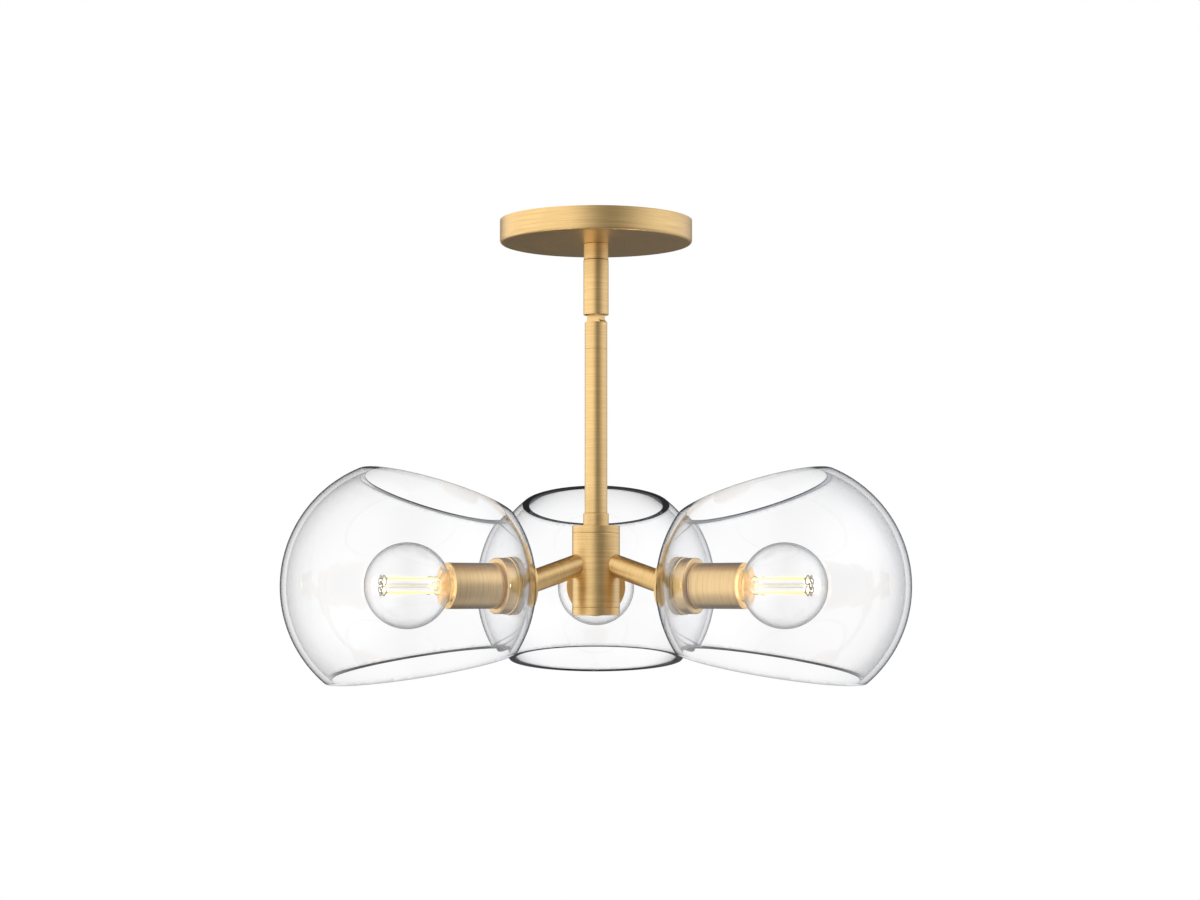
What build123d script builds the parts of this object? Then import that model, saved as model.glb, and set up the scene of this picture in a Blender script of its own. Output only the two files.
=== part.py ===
from build123d import *
import os
from math import asin, atan2, cos, degrees, radians, sin, sqrt, tan

# A ceiling light with three clear glass globes on a short stem.
# Millimetres. The origin is on the ceiling, at the centre of the canopy, and +Z is up.

# Fits between pieces
thread_clearance = 0.05
slip_clearance = 0.1
running_gap = 0.3
seam_gap = 0.2

# Ceiling bracket
small_box_spacing = 69.85
large_box_spacing = 88.9
box_screw_hole_diameter = 4.8
bracket_end_margin = 7.0
bracket_width = 17.0
bracket_thickness = 2.0
ground_screw_reach = 21.0
ground_screw_diameter = 4.8
ground_screw_head_flats = 8.0
ground_screw_head_height = 3.2

# Threaded tubes, nuts and washers
nipple_diameter = 10.0
nipple_bore = 6.4
nut_flats = 14.0
nut_height = 4.0
washer_diameter = 17.0
washer_thickness = 0.8
thread_engagement = 11.0

# Canopy and its collar
canopy_diameter = 135.0
canopy_height = 16.3
canopy_wall = 1.2
canopy_edge_radius = 1.1
canopy_collar_diameter = 17.3
canopy_collar_height = 11.2

# Swivel that lets the stem hang plumb
sleeve_diameter = 17.7
sleeve_length = 39.0
sleeve_wall = 0.95
sleeve_top_thickness = 2.0
yoke_recess = 0.8
pivot_rise = 3.2
pivot_pin_diameter = 3.0
pivot_pin_bite = 1.4
tongue_width = 11.0
tongue_thickness = 6.8
tongue_turn = 42.6
tongue_wire_bore = 3.6

# Stem
stem_diameter = 15.8
knuckle_gap = 5.3
knuckle_shoulder_rise = 1.6
knuckle_shoulder_height = 4.2
knuckle_length = 18.6
rod_length = 115.2
rod_wall = 1.4
rod_plug_length = 14.0
stem_collar_diameter = 17.8
stem_collar_height = 8.7

# Hub
hub_diameter = 33.3
hub_height = 62.2
hub_top_cap_height = 5.2
hub_bottom_cap_height = 5.6
hub_wall = 1.5
hub_spigot_height = 4.0
hub_spigot_wall = 1.6
edge_break = 0.4

# Arms
light_count = 3
first_azimuth = 90.0
socket_axis_drop = 42.0
arm_diameter = 15.5
arm_wall = 1.2
arm_slope = 18.0
arm_end_rise = 0.8
arm_inset = 3.5
arm_end_wall = 3.0
seat_reach = 57.0
seat_disc_diameter = 42.4
seat_disc_thickness = 2.0

# Glass globes
globe_diameter = 170.0
glass_wall = 4.0
glass_hole_diameter = 34.0
top_cut_distance = 64.8
top_cut_slope = 18.0
bottom_cut_distance = 55.0
bottom_cut_slope = 10.0
glass_rim_radius = 0.7
gasket_width = 3.3
gasket_edge_thickness = 0.8

# Socket cup, lampholder and retaining ring
cup_diameter = 31.3
cup_length = 56.7
cup_wall = 1.0
cup_back_thickness = 2.0
cup_lip_radius = 0.4
ring_flange_diameter = 40.2
ring_flange_length = 2.9
ring_diameter = 38.8
ring_length = 11.8
ring_bevel = 0.9
lampholder_recess = 6.7
lampholder_neck_diameter = 22.0
lampholder_neck_length = 13.0
socket_depth = 25.0
shell_bore = 26.7
shell_wall = 0.35
shell_floor_width = 4.0
tongue_contact_diameter = 7.0
tongue_contact_height = 1.4
tongue_contact_taper = 30.0

# Lamp with an E26 cap and a globe of 58 mm
bulb_diameter = 57.6
bulb_length = 88.0
bulb_wall = 0.9
bulb_neck_diameter = 24.6
bulb_neck_fillet = 5.0
cap_diameter = 25.9
cap_rim_diameter = 26.4
cap_wall = 0.35
cap_length = 21.6
cap_rim_length = 2.8
cap_taper_height = 2.1
cap_throat_diameter = 17.2
insulator_height = 3.8
insulator_nose_diameter = 9.2
button_height = 0.8
button_diameter = 6.4
mount_flare_diameter = 22.0
mount_flare_length = 10.0
mount_neck_diameter = 6.2
mount_neck_length = 6.0
mount_rod_diameter = 2.8
filament_count = 4
filament_diameter = 1.8
filament_circle_diameter = 13.0
filament_length = 38.0
spoke_width = 0.7

# Radii that several pieces share
nipple_radius = nipple_diameter / 2
thread_bore_radius = nipple_radius + thread_clearance
sleeve_bore_radius = sleeve_diameter / 2 - sleeve_wall
yoke_radius = sleeve_bore_radius - thread_clearance
hub_bore_radius = hub_diameter / 2 - hub_wall
arm_radius = arm_diameter / 2
globe_radius = globe_diameter / 2
glass_inner_radius = globe_radius - glass_wall
glass_hole_radius = glass_hole_diameter / 2
gasket_inner_radius = glass_hole_radius + thread_clearance
gasket_outer_radius = gasket_inner_radius + gasket_width
cup_radius = cup_diameter / 2
lampholder_radius = cup_radius - cup_wall - slip_clearance
shell_bore_radius = shell_bore / 2
shell_radius = shell_bore_radius + shell_wall
bulb_radius = bulb_diameter / 2

# Heights, from the ceiling down
canopy_bottom = -canopy_height
sleeve_top = canopy_bottom - canopy_collar_height
sleeve_bottom = sleeve_top - sleeve_length
pivot_level = sleeve_bottom + pivot_rise
knuckle_ledge = sleeve_bottom - knuckle_gap
knuckle_bottom = knuckle_ledge - knuckle_length
rod_bottom = knuckle_bottom - rod_length
hub_top = rod_bottom - stem_collar_height
hub_body_top = hub_top - hub_top_cap_height
hub_bottom = hub_top - hub_height
hub_body_bottom = hub_bottom + hub_bottom_cap_height
socket_level = hub_top - socket_axis_drop
arm_root_level = socket_level + arm_end_rise + seat_reach * tan(radians(arm_slope))

# Distances from the hub's axis, outward along a socket axis
disc_front = seat_reach + seat_disc_thickness
globe_reach = disc_front + globe_radius
gasket_front = globe_reach - sqrt(glass_inner_radius**2 - gasket_outer_radius**2) + gasket_edge_thickness
ring_back = gasket_front + running_gap
cup_mouth = disc_front + cup_length
holder_back = disc_front + cup_back_thickness
holder_mouth = cup_mouth - lampholder_recess
holder_floor = holder_mouth - socket_depth
button_front = holder_floor + tongue_contact_height + running_gap
bulb_reach = button_front + bulb_length - bulb_radius
insulator_back = button_front + button_height
cap_back = insulator_back + insulator_height
cap_front = cap_back + cap_length

azimuths = [first_azimuth + turn * 360 / light_count for turn in range(light_count)]
up = Vector(0, 0, 1)
hub_axis_point = Vector(0, 0, socket_level)


def outward(azimuth):
    """The direction in which a light points, away from the hub."""
    return Vector(cos(radians(azimuth)), sin(radians(azimuth)), 0)


def side_plane(azimuth):
    """The upright plane through a socket axis: x is the reach from the hub, y the height."""
    return Plane(origin=hub_axis_point, x_dir=outward(azimuth), z_dir=outward(azimuth).cross(up))


def face_plane(azimuth, reach):
    """The plane square to a socket axis at a reach from the hub's axis."""
    return Plane(origin=hub_axis_point + outward(azimuth) * reach, x_dir=up, z_dir=outward(azimuth))


def socket_axis(azimuth):
    """The level line through the middle of a light."""
    return Axis(hub_axis_point, outward(azimuth))


def arm_plane(azimuth, distance):
    """The plane square to an arm at a distance from the hub's axis, along the arm."""
    direction = outward(azimuth) * cos(radians(arm_slope)) - up * sin(radians(arm_slope))
    origin = Vector(0, 0, arm_root_level) + direction * distance
    return Plane(origin=origin, z_dir=direction)


def cut_plane(azimuth, distance, slope, side):
    """A rim's plane on a globe, sloping away from level, with side 1 above and -1 below."""
    normal = up * side * cos(radians(slope)) - outward(azimuth) * sin(radians(slope))
    centre = hub_axis_point + outward(azimuth) * globe_reach
    return Plane(origin=centre + normal * distance, z_dir=normal)


def save(builder, name):
    """Names a finished piece and writes it."""
    builder.part.label = name
    export_step(builder.part, f"parts/{name}.step")


def threaded_tube(name, top, bottom):
    """A length of threaded tube on the stem's axis, which the wires pass through."""
    with BuildPart() as nipple:
        with BuildSketch(Plane.XY.offset(bottom)):
            Circle(nipple_radius)
            Circle(nipple_bore / 2, mode=Mode.SUBTRACT)
        extrude(amount=top - bottom)
        chamfer(nipple.edges().filter_by(GeomType.CIRCLE).filter_by(
            lambda edge: edge.radius > nipple_radius - thread_clearance), edge_break)
    save(nipple, name)


def hex_nut(name, top):
    """A hexagon nut on the stem's axis, with its corners turned down."""
    with BuildPart() as nut:
        with BuildSketch(Plane.XY.offset(top - nut_height)):
            RegularPolygon(nut_flats / 2, 6, major_radius=False)
            Circle(thread_bore_radius, mode=Mode.SUBTRACT)
        extrude(amount=nut_height)
        with BuildSketch(Plane.XY.offset(top - nut_height)):
            Circle(nut_flats / 2 + edge_break)
        extrude(amount=nut_height, mode=Mode.INTERSECT)
    save(nut, name)


def bored_disc(name, top, height, diameter):
    """A turned collar with softened edges, threaded on the stem's axis."""
    with BuildPart() as disc:
        with BuildSketch(Plane.XY.offset(top - height)):
            Circle(diameter / 2)
        extrude(amount=height)
        fillet(disc.edges().filter_by(GeomType.CIRCLE), edge_break)
        with BuildSketch(Plane.XY.offset(top - height)):
            Circle(thread_bore_radius)
        extrude(amount=height, mode=Mode.SUBTRACT)
    save(disc, name)


def ceiling_bracket():
    """The steel strip that two screws hold to the outlet box, slotted for both box sizes."""
    slot_reach = (small_box_spacing + large_box_spacing) / 4
    slot_length = (large_box_spacing - small_box_spacing) / 2 + box_screw_hole_diameter
    length = large_box_spacing + box_screw_hole_diameter + 2 * bracket_end_margin
    with BuildPart() as bracket:
        with BuildSketch(Plane.XY.offset(-bracket_thickness)):
            SlotOverall(length, bracket_width)
            Circle(thread_bore_radius, mode=Mode.SUBTRACT)
            with Locations((-slot_reach, 0), (slot_reach, 0)):
                SlotOverall(slot_length, box_screw_hole_diameter, mode=Mode.SUBTRACT)
            with Locations((ground_screw_reach, 0)):
                Circle(ground_screw_diameter / 2 + thread_clearance, mode=Mode.SUBTRACT)
        extrude(amount=bracket_thickness)
    save(bracket, "ceiling_bracket")


def ground_screw():
    """The earthing screw that hangs from the bracket, head down."""
    with BuildPart() as screw:
        with BuildSketch(Plane.XY.offset(-bracket_thickness)):
            with Locations((ground_screw_reach, 0)):
                Circle(ground_screw_diameter / 2)
        extrude(amount=bracket_thickness)
        with BuildSketch(Plane.XY.offset(-bracket_thickness - ground_screw_head_height)):
            with Locations((ground_screw_reach, 0)):
                RegularPolygon(ground_screw_head_flats / 2, 6, major_radius=False)
        extrude(amount=ground_screw_head_height)
    save(screw, "ground_screw")


def lock_washer():
    """The washer between the bracket and its nut."""
    with BuildPart() as washer:
        with BuildSketch(Plane.XY.offset(-bracket_thickness - washer_thickness)):
            Circle(washer_diameter / 2)
            Circle(thread_bore_radius, mode=Mode.SUBTRACT)
        extrude(amount=washer_thickness)
    save(washer, "lock_washer")


def canopy():
    """The pressed dish that covers the outlet box, open against the ceiling."""
    with BuildPart() as dish:
        with BuildSketch(Plane.XY.offset(canopy_bottom)):
            Circle(canopy_diameter / 2)
        extrude(amount=canopy_height)
        fillet(dish.edges().group_by(Axis.Z)[0], canopy_edge_radius + canopy_wall)
        offset(amount=-canopy_wall, openings=dish.faces().sort_by(Axis.Z)[-1])
        with BuildSketch(Plane.XY.offset(canopy_bottom)):
            Circle(thread_bore_radius)
        extrude(amount=canopy_wall, mode=Mode.SUBTRACT)
    save(dish, "canopy")


def swivel_sleeve():
    """The outer barrel of the swivel, whose open mouth the tongue swings in."""
    with BuildPart() as sleeve:
        with BuildSketch(Plane.XY.offset(sleeve_bottom)):
            Circle(sleeve_diameter / 2)
        extrude(amount=sleeve_length - seam_gap)
        fillet(sleeve.edges().filter_by(GeomType.CIRCLE), edge_break)
        with BuildSketch(Plane.XY.offset(sleeve_bottom)):
            Circle(sleeve_bore_radius)
        extrude(amount=sleeve_length - seam_gap - sleeve_top_thickness, mode=Mode.SUBTRACT)
        with BuildSketch(Plane.XY.offset(sleeve_bottom)):
            Circle(thread_bore_radius)
        extrude(amount=sleeve_length, mode=Mode.SUBTRACT)
    save(sleeve, "swivel_sleeve")


def pivot_plane(distance):
    """The upright plane square to the pivot, at a distance along it from the stem's axis."""
    along_pivot = Vector(sin(radians(tongue_turn)), cos(radians(tongue_turn)), 0)
    origin = Vector(0, 0, pivot_level) + along_pivot * distance
    return Plane(origin=origin, x_dir=up.cross(along_pivot), z_dir=along_pivot)


def swivel_yoke():
    """The forked block inside the sleeve: its slot holds the tongue between two cheeks."""
    yoke_top = sleeve_top - seam_gap - sleeve_top_thickness
    yoke_bottom = sleeve_bottom + yoke_recess
    slot_top = pivot_level + tongue_width / 2 + running_gap
    thread_bottom = sleeve_top - thread_engagement - sleeve_top_thickness
    slot_width = tongue_thickness + 2 * slip_clearance
    with BuildPart() as yoke:
        with BuildSketch(Plane.XY.offset(yoke_bottom)):
            Circle(yoke_radius)
        extrude(amount=yoke_top - yoke_bottom)
        with BuildSketch(Plane.XY.offset(thread_bottom - running_gap)):
            Circle(thread_bore_radius)
        extrude(amount=yoke_top - thread_bottom + running_gap, mode=Mode.SUBTRACT)
        with BuildSketch(Plane.XY.offset(slot_top - running_gap)):
            Circle(nipple_bore / 2)
        extrude(amount=thread_bottom - slot_top + running_gap, mode=Mode.SUBTRACT)
        with BuildSketch(pivot_plane(-slot_width / 2)):
            with Locations((0, (slot_top + yoke_bottom) / 2 - pivot_level)):
                Rectangle(2 * sleeve_diameter, slot_top - yoke_bottom)
        extrude(amount=slot_width, mode=Mode.SUBTRACT)
        with BuildSketch(pivot_plane(-sleeve_diameter)):
            Circle(pivot_pin_diameter / 2 + thread_clearance)
        extrude(amount=2 * sleeve_diameter, mode=Mode.SUBTRACT)
    save(yoke, "swivel_yoke")


def swivel_pins():
    """Two short pivot pins, one in each cheek, which leave the middle free for the wires."""
    inner_end = tongue_thickness / 2 - pivot_pin_bite
    outer_end = sqrt(yoke_radius**2 - (pivot_pin_diameter / 2) ** 2) - slip_clearance
    with BuildPart() as pins:
        for start in (inner_end, -outer_end):
            with BuildSketch(pivot_plane(start)):
                Circle(pivot_pin_diameter / 2)
            extrude(amount=outer_end - inner_end)
    save(pins, "swivel_pins")


def swivel_knuckle():
    """The stem's top end: a round bar milled to a flat tongue that swings on the pins."""
    shoulder_top = knuckle_ledge + knuckle_shoulder_rise
    half_stem = stem_diameter / 2
    half_tongue = tongue_width / 2
    base = knuckle_bottom - pivot_level
    shoulder_base = shoulder_top - knuckle_shoulder_height - pivot_level
    tongue_foot = shoulder_top - pivot_level
    flat_height = pivot_level + tongue_width - knuckle_ledge
    with BuildPart() as knuckle:
        with BuildSketch(Plane.XY.offset(knuckle_bottom)):
            Circle(half_stem)
        extrude(amount=pivot_level + tongue_width - knuckle_bottom)
        with BuildSketch(pivot_plane(-stem_diameter)):
            with BuildLine():
                Line((-half_stem, base), (half_stem, base))
                Line((half_stem, base), (half_stem, shoulder_base))
                TangentArc((half_stem, shoulder_base), (half_tongue, tongue_foot), tangent=(0, 1))
                Line((half_tongue, tongue_foot), (half_tongue, 0))
                ThreePointArc((half_tongue, 0), (0, half_tongue), (-half_tongue, 0))
                Line((-half_tongue, 0), (-half_tongue, tongue_foot))
                TangentArc((-half_stem, shoulder_base), (-half_tongue, tongue_foot), tangent=(0, 1))
                Line((-half_stem, shoulder_base), (-half_stem, base))
            make_face()
        extrude(amount=2 * stem_diameter, mode=Mode.INTERSECT)
        for start in (tongue_thickness / 2, -tongue_thickness / 2 - stem_diameter):
            with BuildSketch(pivot_plane(start)):
                with Locations((0, knuckle_ledge - pivot_level + flat_height / 2)):
                    Rectangle(2 * stem_diameter, flat_height)
            extrude(amount=stem_diameter, mode=Mode.SUBTRACT)
        with BuildSketch(pivot_plane(-stem_diameter)):
            Circle(pivot_pin_diameter / 2 + thread_clearance)
        extrude(amount=2 * stem_diameter, mode=Mode.SUBTRACT)
        with BuildSketch(Plane.XY.offset(knuckle_bottom)):
            Circle(tongue_wire_bore / 2)
        extrude(amount=pivot_level + tongue_width - knuckle_bottom, mode=Mode.SUBTRACT)
        with BuildSketch(Plane.XY.offset(knuckle_bottom)):
            Circle(thread_bore_radius)
        extrude(amount=thread_engagement + running_gap, mode=Mode.SUBTRACT)
    save(knuckle, "swivel_knuckle")


def stem_rod():
    """The straight tube of the stem, with a threaded plug in each end."""
    with BuildPart() as rod:
        with BuildSketch(Plane.XY.offset(rod_bottom)):
            Circle(stem_diameter / 2)
            Circle(thread_bore_radius, mode=Mode.SUBTRACT)
        extrude(amount=rod_length)
        with BuildSketch(Plane.XY.offset(rod_bottom + rod_plug_length)):
            Circle(stem_diameter / 2 - rod_wall)
        extrude(amount=rod_length - 2 * rod_plug_length, mode=Mode.SUBTRACT)
        fillet(rod.edges().filter_by(GeomType.CIRCLE).filter_by(
            lambda edge: edge.radius > stem_diameter / 2 - thread_clearance), edge_break)
    save(rod, "stem_rod")


def hub_top_cap():
    """The hub's lid, with the nipple's hole and a spigot ring that centres it."""
    with BuildPart() as cap:
        with BuildSketch(Plane.XY.offset(hub_body_top)):
            Circle(hub_diameter / 2)
        extrude(amount=hub_top_cap_height)
        fillet(cap.edges().filter_by(GeomType.CIRCLE), edge_break)
        with BuildSketch(Plane.XY.offset(hub_body_top - hub_spigot_height)):
            Circle(hub_bore_radius - thread_clearance)
            Circle(hub_bore_radius - hub_spigot_wall, mode=Mode.SUBTRACT)
        extrude(amount=hub_spigot_height)
        with BuildSketch(Plane.XY.offset(hub_body_top)):
            Circle(thread_bore_radius)
        extrude(amount=hub_top_cap_height, mode=Mode.SUBTRACT)
    save(cap, "hub_top_cap")


def hub_body():
    """The hub's barrel, bored across on the slant for each arm."""
    with BuildPart() as barrel:
        with BuildSketch(Plane.XY.offset(hub_body_bottom)):
            Circle(hub_diameter / 2)
        extrude(amount=hub_body_top - hub_body_bottom)
        fillet(barrel.edges().filter_by(GeomType.CIRCLE), edge_break)
        with BuildSketch(Plane.XY.offset(hub_body_bottom)):
            Circle(hub_bore_radius)
        extrude(amount=hub_body_top - hub_body_bottom, mode=Mode.SUBTRACT)
        for azimuth in azimuths:
            with BuildSketch(arm_plane(azimuth, 0)):
                Circle(arm_radius + thread_clearance)
            extrude(amount=2 * hub_diameter, mode=Mode.SUBTRACT)
    save(barrel, "hub_body")


def hub_bottom_cap():
    """The hub's lower lid, plain below and centred by its spigot ring."""
    with BuildPart() as cap:
        with BuildSketch(Plane.XY.offset(hub_bottom)):
            Circle(hub_diameter / 2)
        extrude(amount=hub_bottom_cap_height)
        fillet(cap.edges().filter_by(GeomType.CIRCLE), edge_break)
        with BuildSketch(Plane.XY.offset(hub_body_bottom)):
            Circle(hub_bore_radius - thread_clearance)
            Circle(hub_bore_radius - hub_spigot_wall, mode=Mode.SUBTRACT)
        extrude(amount=hub_spigot_height)
    save(cap, "hub_bottom_cap")


def arm(number, azimuth):
    """A sloping tube with a closed end, and a threaded spigot on the socket axis."""
    start = (hub_bore_radius - arm_inset) / cos(radians(arm_slope))
    finish = seat_reach / cos(radians(arm_slope)) + arm_diameter
    bore_end = (seat_reach - arm_end_wall) / cos(radians(arm_slope)) - arm_radius * tan(radians(arm_slope))
    spigot_end = holder_back + thread_engagement
    with BuildPart() as tube:
        with BuildSketch(arm_plane(azimuth, start)):
            Circle(arm_radius)
        extrude(amount=finish - start)
        split(bisect_by=face_plane(azimuth, seat_reach), keep=Keep.BOTTOM)
        with BuildSketch(arm_plane(azimuth, start)):
            Circle(arm_radius - arm_wall)
        extrude(amount=bore_end - start, mode=Mode.SUBTRACT)
        with BuildSketch(face_plane(azimuth, seat_reach)):
            Circle(nipple_radius)
        extrude(amount=spigot_end - seat_reach)
        with BuildSketch(face_plane(azimuth, spigot_end)):
            Circle(nipple_bore / 2)
        extrude(amount=-(spigot_end - seat_reach + 2 * arm_end_wall), mode=Mode.SUBTRACT)
    save(tube, f"arm_{number}")


def seat_disc(number, azimuth):
    """The thin disc behind the glass, which the arm's spigot passes through."""
    with BuildPart() as disc:
        with BuildSketch(face_plane(azimuth, seat_reach)):
            Circle(seat_disc_diameter / 2)
        extrude(amount=seat_disc_thickness)
        fillet(disc.edges().filter_by(GeomType.CIRCLE), edge_break)
        with BuildSketch(face_plane(azimuth, seat_reach)):
            Circle(thread_bore_radius)
        extrude(amount=seat_disc_thickness, mode=Mode.SUBTRACT)
    save(disc, f"seat_disc_{number}")


def shade_gaskets(number, azimuth):
    """Two soft rings, ground to the globe's curve, one behind the glass and one in front."""
    back_radius = globe_radius + thread_clearance
    front_radius = glass_inner_radius - thread_clearance
    back_inner = globe_reach - sqrt(back_radius**2 - gasket_inner_radius**2)
    back_outer = globe_reach - sqrt(back_radius**2 - gasket_outer_radius**2)
    front_inner = globe_reach - sqrt(front_radius**2 - gasket_inner_radius**2)
    front_outer = globe_reach - sqrt(front_radius**2 - gasket_outer_radius**2)
    with BuildPart() as gaskets:
        with BuildSketch(side_plane(azimuth)):
            with BuildLine():
                Polyline((back_inner, gasket_inner_radius), (disc_front, gasket_inner_radius),
                         (disc_front, gasket_outer_radius), (back_outer, gasket_outer_radius))
                RadiusArc((back_inner, gasket_inner_radius), (back_outer, gasket_outer_radius),
                          -back_radius)
            make_face()
            with BuildLine():
                Polyline((front_inner, gasket_inner_radius), (gasket_front, gasket_inner_radius),
                         (gasket_front, gasket_outer_radius), (front_outer, gasket_outer_radius))
                RadiusArc((front_inner, gasket_inner_radius), (front_outer, gasket_outer_radius),
                          -front_radius)
            make_face()
        revolve(axis=socket_axis(azimuth))
    save(gaskets, f"shade_gaskets_{number}")


def glass_shade(number, azimuth):
    """A blown globe, holed for the socket and cut open above and below on the slant."""
    outer_turn = 180 - degrees(asin(glass_hole_radius / globe_radius))
    inner_turn = 180 - degrees(asin(glass_hole_radius / glass_inner_radius))
    with BuildPart() as shade:
        with BuildSketch(side_plane(azimuth)):
            with BuildLine():
                outer = CenterArc((globe_reach, 0), globe_radius, 0, outer_turn)
                inner = CenterArc((globe_reach, 0), glass_inner_radius, 0, inner_turn)
                Line(outer @ 0, inner @ 0)
                Line(outer @ 1, inner @ 1)
            make_face()
        revolve(axis=socket_axis(azimuth))
        split(bisect_by=cut_plane(azimuth, top_cut_distance, top_cut_slope, 1), keep=Keep.BOTTOM)
        split(bisect_by=cut_plane(azimuth, bottom_cut_distance, bottom_cut_slope, -1), keep=Keep.BOTTOM)
        fillet(shade.faces().filter_by(GeomType.PLANE).edges(), glass_rim_radius)
    save(shade, f"glass_shade_{number}")


def socket_cup(number, azimuth):
    """The deep cup around the lampholder, threaded outside at its back for the ring."""
    with BuildPart() as cup:
        with BuildSketch(face_plane(azimuth, disc_front)):
            Circle(cup_radius)
        extrude(amount=cup_length)
        with BuildSketch(face_plane(azimuth, holder_back)):
            Circle(cup_radius - cup_wall)
        extrude(amount=cup_mouth - holder_back, mode=Mode.SUBTRACT)
        fillet(cup.faces().sort_by(socket_axis(azimuth))[-1].edges(), cup_lip_radius)
        with BuildSketch(face_plane(azimuth, disc_front)):
            Circle(thread_bore_radius)
        extrude(amount=cup_back_thickness, mode=Mode.SUBTRACT)
    save(cup, f"socket_cup_{number}")


def retaining_ring(number, azimuth):
    """The stepped ring that screws along the cup and presses the glass to its seat."""
    bore_radius = cup_radius + running_gap
    flange_radius = ring_flange_diameter / 2
    ring_radius = ring_diameter / 2
    ring_front = ring_back + ring_length
    step = ring_back + ring_flange_length
    with BuildPart() as ring:
        with BuildSketch(side_plane(azimuth)):
            with BuildLine():
                Polyline((ring_back, bore_radius), (ring_back, flange_radius - edge_break),
                         (ring_back + edge_break, flange_radius), (step - edge_break, flange_radius),
                         (step, ring_radius), (ring_front - ring_bevel, ring_radius),
                         (ring_front, ring_radius - ring_bevel), (ring_front, bore_radius), close=True)
            make_face()
        revolve(axis=socket_axis(azimuth))
    save(ring, f"retaining_ring_{number}")


def lampholder(number, azimuth):
    """The insulating body that the arm's spigot carries, with a deep round socket."""
    neck_front = holder_back + lampholder_neck_length
    with BuildPart() as holder:
        with BuildSketch(face_plane(azimuth, holder_back)):
            Circle(lampholder_neck_diameter / 2)
        extrude(amount=lampholder_neck_length)
        with BuildSketch(face_plane(azimuth, neck_front)):
            Circle(lampholder_radius)
        extrude(amount=holder_mouth - neck_front)
        with BuildSketch(face_plane(azimuth, holder_floor)):
            Circle(shell_radius + thread_clearance)
        extrude(amount=socket_depth, mode=Mode.SUBTRACT)
        with BuildSketch(face_plane(azimuth, holder_back)):
            Circle(thread_bore_radius)
        extrude(amount=thread_engagement + running_gap, mode=Mode.SUBTRACT)
    save(holder, f"lampholder_{number}")


def lampholder_contacts(number, azimuth):
    """The socket's live parts: the threaded shell with its floor ring, and the spring tongue."""
    tongue_radius = tongue_contact_diameter / 2
    with BuildPart() as contacts:
        with BuildSketch(face_plane(azimuth, holder_floor)):
            Circle(shell_radius)
            Circle(shell_bore_radius, mode=Mode.SUBTRACT)
        extrude(amount=socket_depth - running_gap)
        with BuildSketch(face_plane(azimuth, holder_floor)):
            Circle(shell_radius)
            Circle(shell_bore_radius - shell_floor_width, mode=Mode.SUBTRACT)
        extrude(amount=shell_wall)
        with BuildSketch(face_plane(azimuth, holder_floor)):
            Circle(tongue_radius)
        extrude(amount=tongue_contact_height, taper=tongue_contact_taper)
    save(contacts, f"lampholder_contacts_{number}")


def bulb_envelope(number, azimuth):
    """The lamp's glass: a globe that draws in to a straight neck."""
    neck_radius = bulb_neck_diameter / 2
    neck_start = cap_front - cap_rim_length
    fillet_centre = neck_radius + bulb_neck_fillet
    fillet_reach = bulb_reach - sqrt((bulb_radius + bulb_neck_fillet) ** 2 - fillet_centre**2)
    globe_turn = degrees(atan2(fillet_centre, fillet_reach - bulb_reach))
    with BuildPart() as envelope:
        with BuildSketch(side_plane(azimuth)):
            with BuildLine():
                outer = CenterArc((bulb_reach, 0), bulb_radius, 0, globe_turn)
                outer_end = (fillet_reach, neck_radius)
                TangentArc(outer_end, outer @ 1, tangent=(1, 0))
                Line(outer_end, (neck_start, neck_radius))
                Line((neck_start, neck_radius), (neck_start, neck_radius - bulb_wall))
                inner = CenterArc((bulb_reach, 0), bulb_radius - bulb_wall, 0, globe_turn)
                inner_end = (fillet_reach, neck_radius - bulb_wall)
                TangentArc(inner_end, inner @ 1, tangent=(1, 0))
                Line(inner_end, (neck_start, neck_radius - bulb_wall))
                Line(outer @ 0, inner @ 0)
            make_face()
        revolve(axis=socket_axis(azimuth))
    save(envelope, f"bulb_envelope_{number}")


def bulb_cap(number, azimuth):
    """The lamp's screw cap and, apart from it, the contact button at its foot."""
    throat_radius = cap_throat_diameter / 2
    cap_radius = cap_diameter / 2
    rim_radius = cap_rim_diameter / 2
    taper_front = cap_back + cap_taper_height
    rim_back = cap_front - cap_rim_length
    with BuildPart() as cap:
        with BuildSketch(side_plane(azimuth)):
            with BuildLine():
                Polyline((cap_back, throat_radius), (taper_front, cap_radius), (rim_back, cap_radius),
                         (rim_back, rim_radius), (cap_front, rim_radius), (cap_front, rim_radius - cap_wall),
                         (rim_back + cap_wall, rim_radius - cap_wall),
                         (rim_back + cap_wall, cap_radius - cap_wall),
                         (taper_front + cap_wall, cap_radius - cap_wall),
                         (cap_back + cap_wall, throat_radius), close=True)
            make_face()
            with BuildLine():
                Polyline((button_front, 0), (button_front, button_diameter / 2 - edge_break),
                         (button_front + edge_break, button_diameter / 2),
                         (insulator_back, button_diameter / 2), (insulator_back, 0), close=True)
            make_face()
        revolve(axis=socket_axis(azimuth))
    save(cap, f"bulb_cap_{number}")


def bulb_insulator(number, azimuth):
    """The dark glass cone between the lamp's cap and its contact button."""
    with BuildPart() as insulator:
        with BuildSketch(side_plane(azimuth)):
            with BuildLine():
                Polyline((insulator_back, 0), (insulator_back, insulator_nose_diameter / 2),
                         (cap_back, cap_throat_diameter / 2), (cap_back, 0), close=True)
            make_face()
        revolve(axis=socket_axis(azimuth))
    save(insulator, f"bulb_insulator_{number}")


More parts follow.
